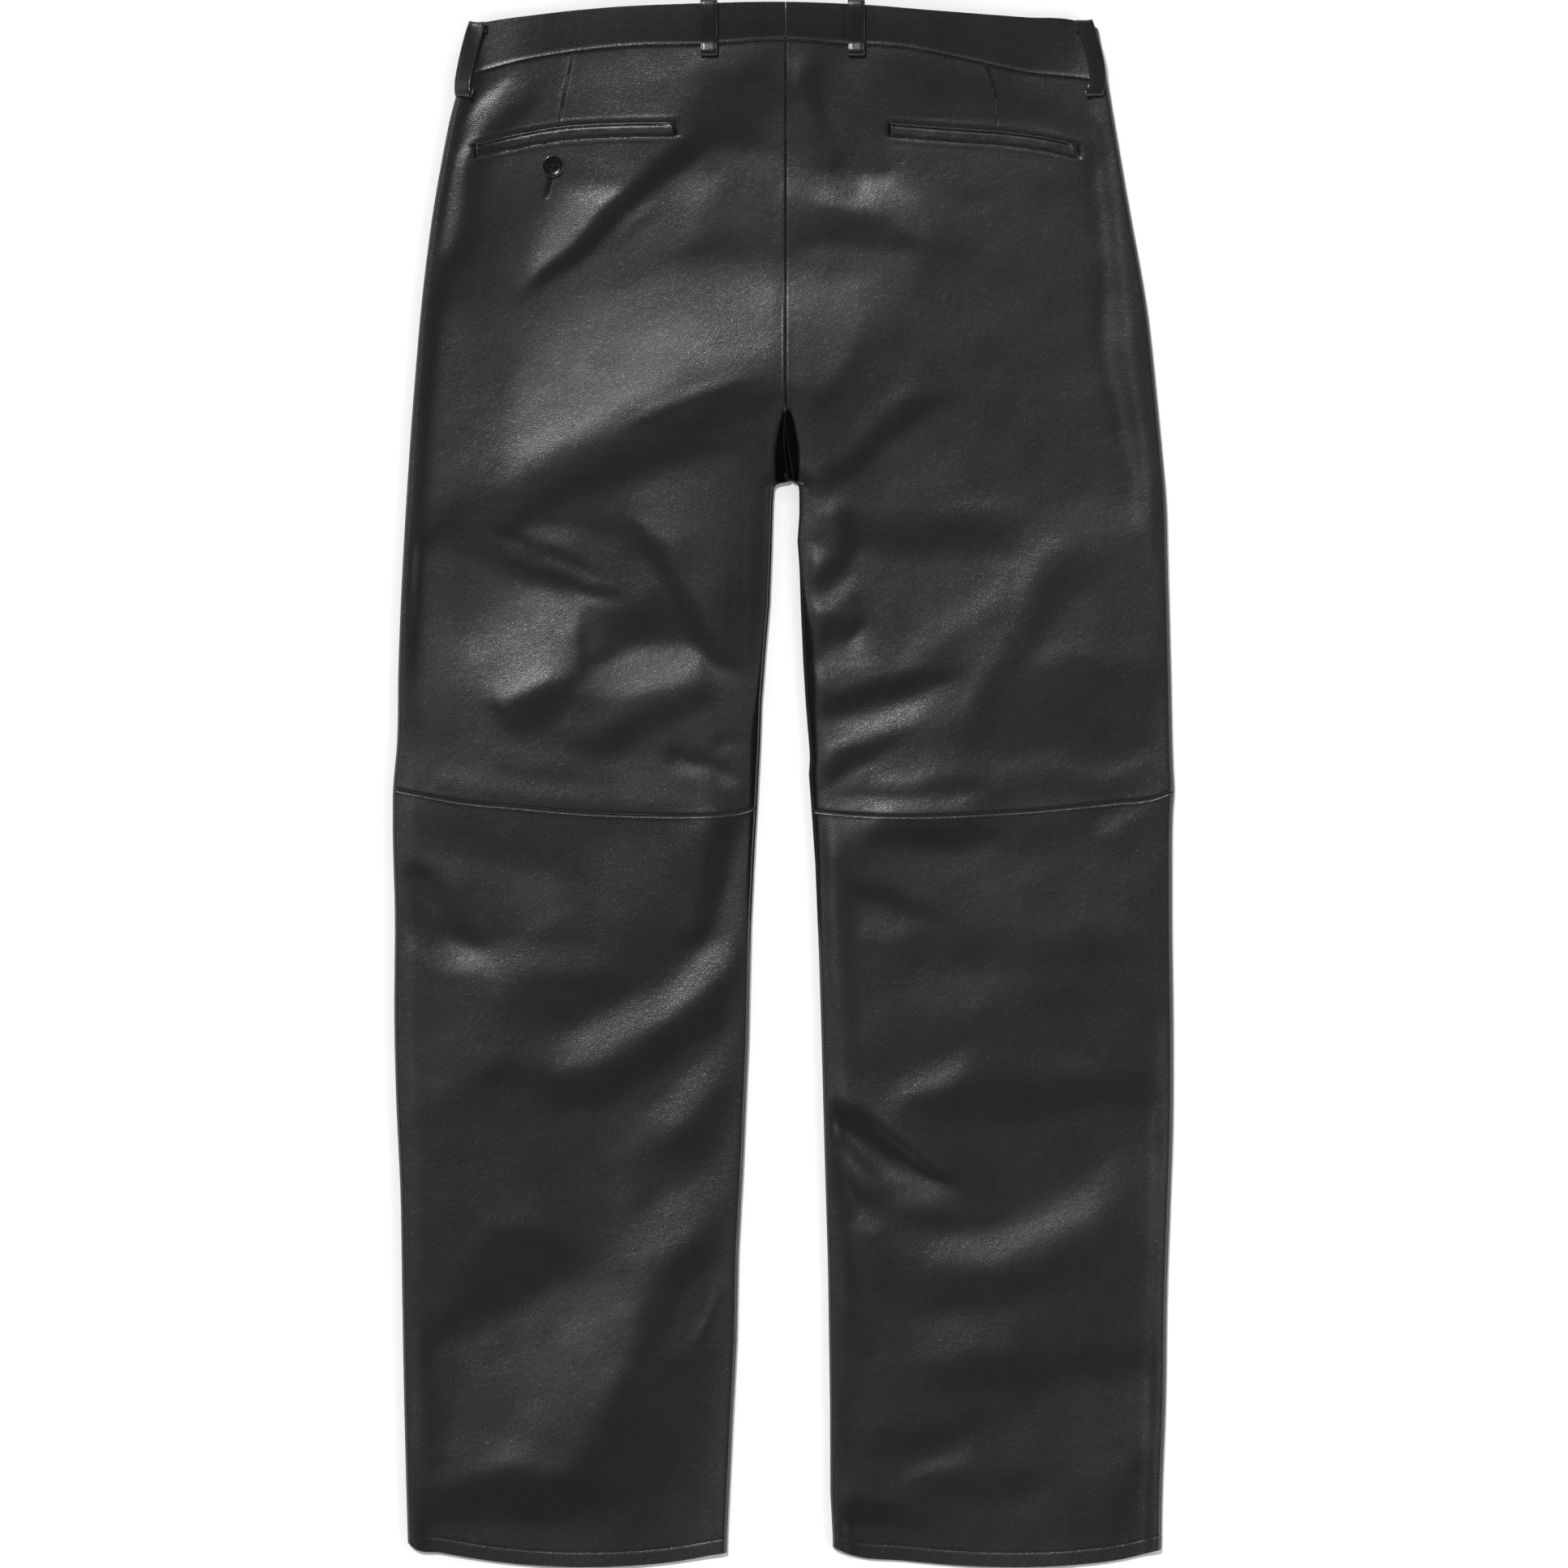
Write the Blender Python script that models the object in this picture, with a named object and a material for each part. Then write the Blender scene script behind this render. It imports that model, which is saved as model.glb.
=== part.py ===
"""Leather trousers laid out flat, front down, one named solid for each piece that is cut and sewn.

X runs from the wearer's left to their right, +Y from the hems to the waist, and Z = 0 is the surface
that the fronts lie on. Lengths in the tables are millimetres, and the scene is in metres.
"""

from collections import namedtuple
from math import cos, pi, radians, sin

import bmesh
import bpy
import numpy as np
from mathutils.bvhtree import BVHTree

MM = 0.001

# Driving dimensions, in millimetres.
LEATHER = 1.4  # wall of a panel
BAND = 2.6  # wall of the waistband: two layers and a stiffener
SEAM = 0.3  # space between neighbouring pieces
SIDE_FOLD = 3.3  # radius of the soft fold along outseams and inseams, stiffened by their allowances
ALLOWANCE = 10.0  # reach of the seam allowances inside that fold
LAID = 5.4  # height of a back panel where it lies quietly on its front, with a little air between
LOWEST = 3.5  # a trough goes no lower, or the back would cut into the front
BAND_PROUD = 0.8  # how far it stands over the backs at its seam
CENTRE = 1.4  # X of the centre back and centre front seams
CROTCH = 212.5  # Y of the crotch point
CROTCH_SHIFT = 3.6  # the seam ends that far to the right of its line
BACK_OPENS = 62.0  # the backs' inner edge turns from a fold into a seam over that distance above the crotch
FRONT_OPENS = 12.0  # the fronts' does so over this one
WELT_WIDTH = 10.0
WELT_LEATHER = 1.1
LOOP_WIDTH = 12.0
LOOP_LEATHER = 1.2
BUTTON_AT = (-162.0, 434.3)
BUTTON_HOLES = 4
HOLE_ACROSS = 1.8
HOLES_FROM_MIDDLE = 2.0

FOLD_STEPS = (0.0, 30.0, 60.0, 90.0)  # degrees round the fold at a seam edge
BACK_COLUMNS = 11  # pieces that meet along a seam have the same columns, so that their edges run together
FRONT_COLUMNS = 7
MIDDLE = 150.0  # X of the middle of a leg
THIGH_ENDS = (522.0, -20.0)  # Y of a back thigh's ends in the middle of the leg
FRONT_ENDS = (470.0, -540.0)  # the same for a whole front
AT_CROTCH = (213.5, 208.8, 205.0)  # rows of points stand closer there

# Each leg's two edges from waist to hem.
Edge = namedtuple("Edge", "y x")
LEFT_OUTER = [
    Edge(540, -216), Edge(505, -224), Edge(496, -226.5), Edge(467, -234.3), Edge(438, -240),
    Edge(407, -245.4), Edge(351, -252.8), Edge(282, -259.1), Edge(201, -264.8), Edge(127, -268.8),
    Edge(82, -270.5), Edge(27, -271.6), Edge(-3, -274.2), Edge(-27, -274.5), Edge(-90, -273),
    Edge(-171, -273.3), Edge(-217, -272.2), Edge(-289, -269), Edge(-354, -267.9), Edge(-445, -266.2),
    Edge(-531, -263.9),
]
RIGHT_OUTER = [
    Edge(540, 219), Edge(493, 227.7), Edge(467, 232), Edge(440, 236.6), Edge(399, 243.7), Edge(365, 250),
    Edge(331, 255.6), Edge(301, 259.1), Edge(267, 262.5), Edge(238, 265.3), Edge(201, 268.5),
    Edge(154, 269.9), Edge(77, 271.9), Edge(10, 273.6), Edge(-3, 274.2), Edge(-18, 273.3),
    Edge(-74, 272.7), Edge(-185, 273.6), Edge(-242, 273.3), Edge(-299, 271.3), Edge(-357, 269.3),
    Edge(-432, 268.2), Edge(-508, 265.6), Edge(-537, 265.3),
]
LEFT_INSEAM = [
    Edge(208.6, -2), Edge(205.5, -6.3), Edge(197, -7.4), Edge(163, -8.3), Edge(127, -9.7), Edge(91, -12.8),
    Edge(55, -15.4), Edge(29, -16.2), Edge(-16, -18.5), Edge(-45, -20.2), Edge(-99, -22.8),
    Edge(-180, -24.5), Edge(-272, -28.5), Edge(-327, -31.6), Edge(-390, -32.8), Edge(-445, -35.6),
    Edge(-530, -39.6),
]
RIGHT_INSEAM = [
    Edge(210.5, 9), Edge(208, 10.5), Edge(190, 11.1), Edge(171, 9.7), Edge(152, 11.1), Edge(124, 12),
    Edge(86, 13.7), Edge(58, 15.4), Edge(20, 18.5), Edge(7, 17.7), Edge(-20, 19.7), Edge(-56, 22.2),
    Edge(-119, 24.8), Edge(-176, 26.5), Edge(-261, 28.8), Edge(-338, 31.1), Edge(-432, 32.5),
    Edge(-498, 32.8), Edge(-529, 34.5),
]

# Edges and seams that run across the trousers.
Across = namedtuple("Across", "x y")
BACK_TOP = [
    Across(-226, 531), Across(-218, 533.2), Across(-171, 540.6), Across(-126, 545.2), Across(-60, 548.1),
    Across(1, 549.2), Across(56, 547.2), Across(102, 543.5), Across(170, 538.4), Across(205, 536.1),
    Across(220, 531), Across(230, 528),
]
BACK_WAIST_SEAM = [
    Across(-232, 494), Across(-221, 497.9), Across(-187, 507.6), Across(-159, 512.7), Across(-106, 518.6),
    Across(-60, 519.6), Across(1, 523), Across(44, 520.1), Across(79, 518.4), Across(127, 509.3),
    Across(170, 499.9), Across(208, 496.2), Across(228, 493.3),
]
# How far the waistband climbs from its seam to its upper edge, along the waist; y is that height.
BAND_CLIMB = [
    Across(-232, -1.2), Across(-208, -0.8), Across(-180, 0.8), Across(-130, 1.8), Across(-80, 3.0),
    Across(0, 3.7), Across(70, 3.4), Across(150, 2.8), Across(180, 1.6), Across(206, -1.0), Across(228, -1.6),
]
FRONT_TOP = [  # meets the back at the sides and dips to the centre front
    Across(-226, 531), Across(-218, 533.2), Across(-190, 527), Across(0, 508), Across(190, 527),
    Across(220, 531), Across(230, 528),
]
FRONT_WAIST_SEAM = [
    Across(-232, 494), Across(-221, 497.9), Across(-190, 491), Across(0, 470), Across(190, 489),
    Across(218, 494.8), Across(228, 493.3),
]
KNEE_SEAM = [
    Across(-276, -3), Across(-258, -6.6), Across(-231, -11.7), Across(-186, -16.2), Across(-140, -20.2),
    Across(-95, -21.9), Across(-58, -21.9), Across(-33, -20.2), Across(-18, -16.2), Across(19, -18.5),
    Across(53, -21.4), Across(82, -22.5), Across(118, -21.9), Across(158, -19.7), Across(195, -16.8),
    Across(233, -12.8), Across(261, -9.4), Across(276, -3.7),
]
HEM = [
    Across(-266, -530), Across(-261, -535), Across(-240, -539.5), Across(-186, -547.5), Across(-131, -549.6),
    Across(-77, -545.8), Across(-40, -539.5), Across(34, -535.3), Across(45, -540.1), Across(86, -545.2),
    Across(148, -549.6), Across(204, -548.1), Across(237, -544.1), Across(266, -537),
]

# The largest folds of the backs: a ridge where rise is positive, a trough where it is negative.
Fold = namedtuple("Fold", "x1 y1 x2 y2 rise width")
FOLDS = [
    Fold(-13, 282, -231, 175, 4.0, 20),
    Fold(-25, 262, -195, 178, -2.0, 14),
    Fold(-49, 437, -186, 346, -2.5, 14),
    Fold(-235, 480, -240, 400, 1.5, 12),
    Fold(-144, 82, -58, 89, 2.5, 9),
    Fold(-77, 24, -37, 4, -2.0, 8),
    Fold(-26, -90, -150, -188, 3.5, 12),
    Fold(-28, -122, -131, -228, -2.0, 13),
    Fold(-257, -95, -217, -139, 2.0, 12),
    Fold(-42, -272, -95, -308, 2.5, 11),
    Fold(-113, -300, -150, -408, 2.0, 15),
    Fold(23, 422, 99, 384, 2.5, 13),
    Fold(91, 276, 23, 214, -2.0, 13),
    Fold(114, 78, 40, 44, -2.0, 10),
    Fold(40, 34, 110, 54, 3.0, 10),
    Fold(186, 133, 140, 48, -1.8, 18),
    Fold(42, -225, 120, -280, -2.0, 9),
    Fold(38, -236, 110, -290, 3.0, 9),
    Fold(224, -296, 129, -332, 2.2, 15),
]
# Where the seat, thighs and calves fill out, as soft mounds.
Mound = namedtuple("Mound", "x y rise along across")
MOUNDS = [
    Mound(-85, 335, 2.4, 120, 85),
    Mound(88, 345, 2.0, 120, 85),
    Mound(-190, 105, 1.8, 70, 60),
    Mound(150, 120, 1.2, 110, 75),
    Mound(-140, -110, 1.0, 120, 80),
    Mound(150, -130, 1.0, 130, 80),
    Mound(-110, 500, 1.1, 70, 120),
    Mound(110, 500, 1.1, 70, 120),
]

# The welts' centre lines.
WELTS = {
    "left": [
        Across(-217, 444.8), Across(-187, 452.0), Across(-157, 457.2), Across(-112, 459.8),
        Across(-76, 460.3),
    ],
    "right": [
        Across(74, 459.8), Across(118, 456.4), Across(162, 453.0), Across(190, 448.6), Across(207, 444.4),
    ],
}

# A belt loop's middle line from its upper end to its lower one, at y. Lift is how far it stands over the
# surface below, tilt turns its outer edge down in degrees, and slide moves it outwards along its width.
Strap = namedtuple("Strap", "y lift tilt slide")
BACK_LOOP = [
    Strap(542.0, 0.9, 0, 0), Strap(547.8, 1.0, 0, 0), Strap(550.0, 2.4, 0, 0), Strap(548.2, 3.8, 0, 0),
    Strap(538.0, 4.2, 0, 0), Strap(526.0, 4.2, 0, 0), Strap(516.0, 3.9, 0, 0), Strap(513.0, 3.4, 0, 0),
    Strap(511.9, 2.2, 0, 0), Strap(513.2, 1.0, 0, 0), Strap(517.5, 0.9, 0, 0),
]
BACK_LOOP_AT = {"left": -52.5, "right": 51.0}
SIDE_LOOPS = {  # slide 0 is over the middle of the fold at the side
    "left": [
        Strap(528.0, 1.4, 8, -2), Strap(532.5, 1.5, 8, -2), Strap(534.4, 2.8, 9, -2),
        Strap(532.4, 4.1, 12, -2),
        Strap(520.0, 4.2, 30, -1), Strap(506.0, 3.4, 48, 0), Strap(494.0, 3.3, 54, 0.5),
        Strap(486.5, 3.6, 54, 0.5), Strap(483.4, 2.5, 54, 0.5), Strap(486.0, 1.4, 54, 0.5),
        Strap(490.0, 1.3, 54, 0.5),
    ],
    "right": [
        Strap(529.0, 1.4, 4, -6.6), Strap(533.6, 1.5, 4, -6.6), Strap(535.8, 3.0, 6, -6.6),
        Strap(533.4, 4.3, 8, -6.4), Strap(520.0, 4.2, 9, -5), Strap(505.0, 3.9, 9, -4),
        Strap(492.0, 3.6, 9, -5.6), Strap(486.5, 3.4, 9, -8), Strap(484.0, 2.3, 8, -8.6),
        Strap(486.5, 1.2, 8, -8.8), Strap(490.5, 1.1, 8, -8.6),
    ],
}

# The button's outline from the middle of its underside to the middle of its top.
Ring = namedtuple("Ring", "radius height")
BUTTON_OUTLINE = [
    Ring(0, 0), Ring(6.8, 0), Ring(8.0, 0.8), Ring(8.0, 1.9), Ring(7.1, 2.6), Ring(6.0, 1.8), Ring(0, 1.6),
]

ZIP_LENGTH = 150.0
ZIP_WIDTH = 24.0
ZIP_TAPE = 0.9
HOOK_PLATE = (16.0, 11.0, 1.0)


def smooth(keys, values, at):
    """Cubic through the rows of a table, level with its neighbours, and straight past its ends."""
    order = np.argsort(keys)
    keys, values = np.asarray(keys, float)[order], np.asarray(values, float)[order]
    slope = np.gradient(values, keys)
    at = np.asarray(at, float)
    i = np.clip(np.searchsorted(keys, at) - 1, 0, len(keys) - 2)
    span = keys[i + 1] - keys[i]
    t = np.clip((at - keys[i]) / span, 0, 1)
    start = (1 + 2 * t) * (1 - t) ** 2 * values[i] + t * (1 - t) ** 2 * span * slope[i]
    end = t * t * (3 - 2 * t) * values[i + 1] + t * t * (t - 1) * span * slope[i + 1]
    beyond = (at - np.clip(at, keys[0], keys[-1])) * np.where(at < keys[0], slope[0], slope[-1])
    return start + end + beyond


def across(table, x):
    return smooth([row.x for row in table], [row.y for row in table], x)


def edge(table, y):
    return smooth([row.y for row in table], [row.x for row in table], y)


def ramp(value, low, high):
    """0 at low, 1 at high, eased at both."""
    t = np.clip((np.asarray(value, float) - low) / (high - low), 0, 1)
    return t * t * (3 - 2 * t)


def side_edge(x, y):
    """Distance from the nearest folded edge of the leg or hip."""
    gaps = [abs(x - edge(rows, y)) for rows in (LEFT_OUTER, RIGHT_OUTER)]
    past = np.maximum(y - CROTCH, 0)
    gaps += [np.hypot(x - edge(rows, np.minimum(y, CROTCH)), past) for rows in (LEFT_INSEAM, RIGHT_INSEAM)]
    return np.minimum.reduce(gaps)


def lay(x, y):
    """Height of the backs' outer surface over the table, with mounds and the largest folds."""
    inside = np.maximum(side_edge(x, y) - SIDE_FOLD, 0)
    z = LAID + (2 * SIDE_FOLD - LAID) * np.exp(-((inside / ALLOWANCE) ** 2))
    for m in MOUNDS:
        z = z + m.rise * np.exp(-(((x - m.x) / m.across) ** 2 + ((y - m.y) / m.along) ** 2))
    for f in FOLDS:
        dx, dy = f.x2 - f.x1, f.y2 - f.y1
        length = np.hypot(dx, dy)
        along = ((x - f.x1) * dx + (y - f.y1) * dy) / length
        off = ((x - f.x1) * dy - (y - f.y1) * dx) / length
        ends = ramp(along, -f.width, f.width) * (1 - ramp(along, length - f.width, length + f.width))
        z = z + f.rise * ends * np.exp(-((off / f.width) ** 2))
    return np.maximum(z, LOWEST)


def back_band(x, y):
    """Height of the waistband's outer surface: it stands over the backs and climbs to its upper edge."""
    seam = across(BACK_WAIST_SEAM, x)
    up = np.clip((y - seam) / (across(BACK_TOP, x) - seam), 0, 1)
    climb = across(BAND_CLIMB, x) * (up - 0.25 * up**2) * (1 - 0.6 * ramp(up, 0.86, 1.0))
    return lay(x, seam) + BAND_PROUD + climb


def table_top(x, y):
    return np.zeros(np.broadcast(x, y).shape)


class Leg:
    """One side of the trousers: its edges, and which way is outwards."""

    def __init__(self, name):
        self.name = name
        self.side = -1 if name == "left" else 1
        self.outer_rows = LEFT_OUTER if name == "left" else RIGHT_OUTER
        self.inseam_rows = LEFT_INSEAM if name == "left" else RIGHT_INSEAM

    def outer(self, y):
        return edge(self.outer_rows, y)

    def inner(self, y):
        centre = CENTRE + CROTCH_SHIFT * (1 - ramp(y, CROTCH, CROTCH + 30)) + self.side * SEAM / 2
        return np.where(y >= CROTCH, centre, self.inseam(np.minimum(y, CROTCH)))

    def inseam(self, y):
        rows = [Edge(CROTCH, CENTRE + CROTCH_SHIFT + self.side * SEAM / 2)] + self.inseam_rows
        return np.interp(-y, [-row.y for row in rows], [row.x for row in rows])


def turned_back(y):
    """The backs roll down into the groove over the crotch, and the inseam is a full fold."""
    return 1 - ramp(y, CROTCH, CROTCH + BACK_OPENS)


def turned_front(y):
    return 1 - ramp(y, CROTCH, CROTCH + FRONT_OPENS)


def never(y):
    return np.zeros(np.shape(y))


def spread(count, ends=None, near=()):
    """Shares of the way down a panel, evenly spread, with more of them at given heights."""
    steps = set(np.round(np.linspace(0, 1, count), 4))
    if ends:
        steps |= {round((ends[0] - y) / (ends[0] - ends[1]), 4) for y in near}
    return sorted(steps)


def sheet_points(leg, top, bottom, skin, up, wall, turned, rows, columns):
    """Outer and inner points of a panel: rows from top to bottom, columns from outseam to inner edge.

    up is 1 for a back and -1 for a front, whose outer surface faces down.
    """
    fold = SIDE_FOLD
    turn = [radians(step) for step in FOLD_STEPS]
    places = [("out", a) for a in turn]
    places += [("mid", f) for f in np.linspace(0, 1, columns)[1:-1]]
    places += [("in", a) for a in turn[::-1]]
    outer, inner = [], []
    for v in rows:
        line_out, line_in = [], []
        for place, value in places:
            x = leg.side * MIDDLE
            for _ in range(6):
                y = (1 - v) * top(x) + v * bottom(x)
                roll = float(turned(y))
                inner_fold = max(roll * fold, 2.0)
                low, high = float(leg.outer(y)), float(leg.inner(y))
                shoulder_out, shoulder_in = low - leg.side * fold, high + leg.side * inner_fold
                if place == "out":
                    x = low - leg.side * fold * (1 - cos(value))
                elif place == "in":
                    x = high + leg.side * inner_fold * (1 - cos(value))
                else:
                    x = shoulder_out + (shoulder_in - shoulder_out) * value
            if place == "mid":
                z, push = float(skin(x, y)), (0.0, -up)
            else:
                full = 1.0 if place == "out" else roll
                inward = -leg.side if place == "out" else leg.side
                shoulder = float(skin(shoulder_out if place == "out" else shoulder_in, y))
                ledge = shoulder + full * (fold + up * SEAM / 2 - shoulder)
                z = ledge + (shoulder - ledge) * sin(value)
                push = (inward * full * cos(value), -up * (1 - full + full * sin(value)))
            size = np.hypot(*push)
            x_in = x + wall * push[0] / size
            y_in = (1 - v) * float(top(x_in)) + v * float(bottom(x_in))
            line_out.append((x, y, z))
            line_in.append((x_in, y_in, z + wall * push[1] / size))
        outer.append(line_out)
        inner.append(line_in)
    return outer, inner


def solid(name, verts, faces, material, smooth_shade=True):
    """A closed object from points in millimetres, its faces turned outwards."""
    mesh = bpy.data.meshes.new(name)
    mesh.from_pydata([tuple(c * MM for c in v) for v in verts], [], faces)
    bm = bmesh.new()
    bm.from_mesh(mesh)
    bmesh.ops.recalc_face_normals(bm, faces=bm.faces)
    bm.to_mesh(mesh)
    bm.free()
    if smooth_shade:
        mesh.shade_smooth()
        mesh.set_sharp_from_angle(angle=radians(40))
    mesh.materials.append(material)
    thing = bpy.data.objects.new(name, mesh)
    bpy.context.collection.objects.link(thing)
    return thing


def walled(name, outer, inner, material):
    """A wall between two grids of points, closed round its rim."""
    rows, columns = len(outer), len(outer[0])
    verts = [p for line in outer for p in line] + [p for line in inner for p in line]
    far = rows * columns
    faces = []
    for i in range(rows - 1):
        for j in range(columns - 1):
            a, b = i * columns + j, i * columns + j + 1
            c, d = b + columns, a + columns
            faces += [(a, b, c, d), (far + d, far + c, far + b, far + a)]
    rim = list(range(columns))
    rim += [i * columns + columns - 1 for i in range(1, rows)]
    rim += [(rows - 1) * columns + j for j in range(columns - 2, -1, -1)]
    rim += [i * columns for i in range(rows - 2, 0, -1)]
    for a, b in zip(rim, rim[1:] + rim[:1]):
        faces.append((b, a, far + a, far + b))
    return solid(name, verts, faces, material)


def finish(name, colour, roughness, metallic=0.0):
    material = bpy.data.materials.new(name)
    material.use_nodes = True
    shader = material.node_tree.nodes["Principled BSDF"]
    shader.inputs["Base Color"].default_value = (*colour, 1)
    shader.inputs["Roughness"].default_value = roughness
    shader.inputs["Metallic"].default_value = metallic
    return material


def make_panels(leg, hide):
    """Back thigh, back shin and the whole front of one leg."""
    half = SEAM / 2

    def waist(x):
        return across(BACK_WAIST_SEAM, x) - half

    def above_knee(x):
        return across(KNEE_SEAM, x) + half

    def below_knee(x):
        return across(KNEE_SEAM, x) - half

    def hem(x):
        return across(HEM, x)

    def front_waist(x):
        return across(FRONT_WAIST_SEAM, x) - half

    back = dict(skin=lay, up=1, wall=LEATHER, turned=turned_back, columns=BACK_COLUMNS)
    thigh = sheet_points(leg, waist, above_knee, rows=spread(22, THIGH_ENDS, AT_CROTCH), **back)
    shin = sheet_points(leg, below_knee, hem, rows=spread(16), **back)
    front = dict(skin=table_top, up=-1, wall=LEATHER, turned=turned_front, columns=FRONT_COLUMNS)
    front = sheet_points(leg, front_waist, hem, rows=spread(18, FRONT_ENDS, AT_CROTCH), **front)
    panel = walled(f"back_thigh_{leg.name}", *thigh, hide)
    walled(f"back_shin_{leg.name}", *shin, hide)
    walled(f"front_{leg.name}", *front, hide)
    return panel


def make_waistband(leg, hide):
    def back_top(x):
        return across(BACK_TOP, x)

    def back_seam(x):
        return across(BACK_WAIST_SEAM, x) + SEAM / 2

    def front_top(x):
        return across(FRONT_TOP, x)

    def front_seam(x):
        return across(FRONT_WAIST_SEAM, x) + SEAM / 2

    back = dict(skin=back_band, up=1, wall=BAND, turned=never, columns=BACK_COLUMNS)
    back = sheet_points(leg, back_top, back_seam, rows=spread(4), **back)
    front = dict(skin=table_top, up=-1, wall=BAND, turned=never, columns=FRONT_COLUMNS)
    front = sheet_points(leg, front_top, front_seam, rows=spread(3), **front)
    walled(f"waistband_front_{leg.name}", *front, hide)
    return walled(f"waistband_back_{leg.name}", *back, hide)


def height_on(thing):
    """A function that gives a built piece's own top surface, in millimetres."""
    tree = BVHTree.FromObject(thing, bpy.context.evaluated_depsgraph_get())

    def height(x, y):
        hit = tree.ray_cast((x * MM, y * MM, 1.0), (0, 0, -1))[0]
        return hit.z / MM

    return height


def make_welt(name, table, panel, hide):
    """A welt lies on its panel: it is made from the panel's points, moved out."""
    height = height_on(panel)
    xs = np.linspace(table[0].x, table[-1].x, 15)
    outer, inner = [], []
    for off in np.linspace(WELT_WIDTH / 2, -WELT_WIDTH / 2, 3):
        ys = across(table, xs) + off
        rest = [max(height(x + dx, y) for dx in (-4, 0, 4)) + SEAM for x, y in zip(xs, ys)]
        outer.append([(x, y, z + WELT_LEATHER) for x, y, z in zip(xs, ys, rest)])
        inner.append([(x, y, z) for x, y, z in zip(xs, ys, rest)])
    walled(name, outer, inner, hide)


def make_strap(name, rows, place, material):
    """A belt loop: a strip of doubled leather. place gives the middle of each row of its table."""
    steps = np.arange(len(rows))
    at = np.linspace(0, len(rows) - 1, 2 * len(rows) - 1)
    fine = [Strap(*row) for row in zip(*(smooth(steps, column, at) for column in zip(*rows)))]
    path = np.array([place(row) for row in fine])
    outer, inner = [], []
    for point, along, row in zip(path, np.gradient(path, axis=0), fine):
        along = along / np.linalg.norm(along)
        turn = radians(row.tilt) * (-1 if point[0] < 0 else 1)
        wide = np.array((cos(turn), 0.0, -sin(turn)))
        wide = wide - along * wide.dot(along)
        wide = wide / np.linalg.norm(wide)
        out = np.cross(along, wide) * LOOP_LEATHER / 2
        ends = [point + wide * LOOP_WIDTH * f for f in (-0.5, 0.0, 0.5)]
        outer.append([tuple(p + out) for p in ends])
        inner.append([tuple(p - out) for p in ends])
    walled(name, outer, inner, material)


def make_loops(leg, band, hide):
    """The loop on the back lies over the band, and the one at the side goes round the side's fold."""
    at = BACK_LOOP_AT[leg.name]
    height = height_on(band)
    low, high = float(across(BACK_WAIST_SEAM, at)) + 1, float(across(BACK_TOP, at)) - 1

    def over_band(row):
        y = min(max(row.y, low), high)
        return at, row.y, max(height(at + dx, y) for dx in (-6, 0, 6)) + row.lift

    def round_side(row):
        turn = radians(row.tilt)
        out = sin(turn) * (SIDE_FOLD + row.lift) + cos(turn) * row.slide
        up = cos(turn) * (SIDE_FOLD + row.lift) - sin(turn) * row.slide
        return float(leg.outer(row.y)) + leg.side * (out - SIDE_FOLD), row.y, SIDE_FOLD + up

    make_strap(f"belt_loop_back_{leg.name}", BACK_LOOP, over_band, hide)
    make_strap(f"belt_loop_side_{leg.name}", SIDE_LOOPS[leg.name], round_side, hide)


def make_button(panel, horn):
    """A turned button with a raised rim and four holes."""
    height = height_on(panel)
    x, y = BUTTON_AT
    reach = max(row.radius for row in BUTTON_OUTLINE)
    ring = [(x + reach * cos(a), y + reach * sin(a)) for a in np.linspace(0, 2 * pi, 24, endpoint=False)]
    base = max(height(*point) for point in ring + [(x, y)]) + SEAM
    bm = bmesh.new()
    points = [bm.verts.new((row.radius * MM, 0, row.height * MM)) for row in BUTTON_OUTLINE]
    for a, b in zip(points, points[1:]):
        bm.edges.new((a, b))
    bmesh.ops.spin(bm, geom=bm.verts[:] + bm.edges[:], axis=(0, 0, 1), cent=(0, 0, 0), steps=32, angle=2 * pi)
    bmesh.ops.remove_doubles(bm, verts=bm.verts, dist=1e-6)
    bmesh.ops.recalc_face_normals(bm, faces=bm.faces)
    mesh = bpy.data.meshes.new("pocket_button")
    bm.to_mesh(mesh)
    bm.free()
    mesh.shade_smooth()
    mesh.set_sharp_from_angle(angle=radians(40))
    mesh.materials.append(horn)
    button = bpy.data.objects.new("pocket_button", mesh)
    bpy.context.collection.objects.link(button)
    button.location = (x * MM, y * MM, base * MM)
    for i in range(BUTTON_HOLES):
        angle = (i + 0.5) * 2 * pi / BUTTON_HOLES
        bpy.ops.mesh.primitive_cylinder_add(vertices=12, radius=HOLE_ACROSS / 2 * MM, depth=8 * MM)
        drill = bpy.context.object
        drill.name = f"button_drill_{i + 1}"
        along, over = HOLES_FROM_MIDDLE * cos(angle), HOLES_FROM_MIDDLE * sin(angle)
        drill.location = ((x + along) * MM, (y + over) * MM, base * MM)
        drill.hide_render = True
        drill.display_type = "WIRE"
        cut = button.modifiers.new(f"hole {i + 1}", "BOOLEAN")
        cut.operation = "DIFFERENCE"
        cut.object = drill


def block(name, centre, size, material, bevel):
    """A small plate with softened edges."""
    low = [c - s / 2 for c, s in zip(centre, size)]
    high = [c + s / 2 for c, s in zip(centre, size)]
    verts = [(x, y, z) for z in (low[2], high[2]) for y in (low[1], high[1]) for x in (low[0], high[0])]
    faces = [(0, 2, 3, 1), (4, 5, 7, 6), (0, 1, 5, 4), (2, 6, 7, 3), (0, 4, 6, 2), (1, 3, 7, 5)]
    thing = solid(name, verts, faces, material, smooth_shade=False)
    soften = thing.modifiers.new("softened edges", "BEVEL")
    soften.width = bevel * MM
    soften.segments = 1
    return thing


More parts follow.
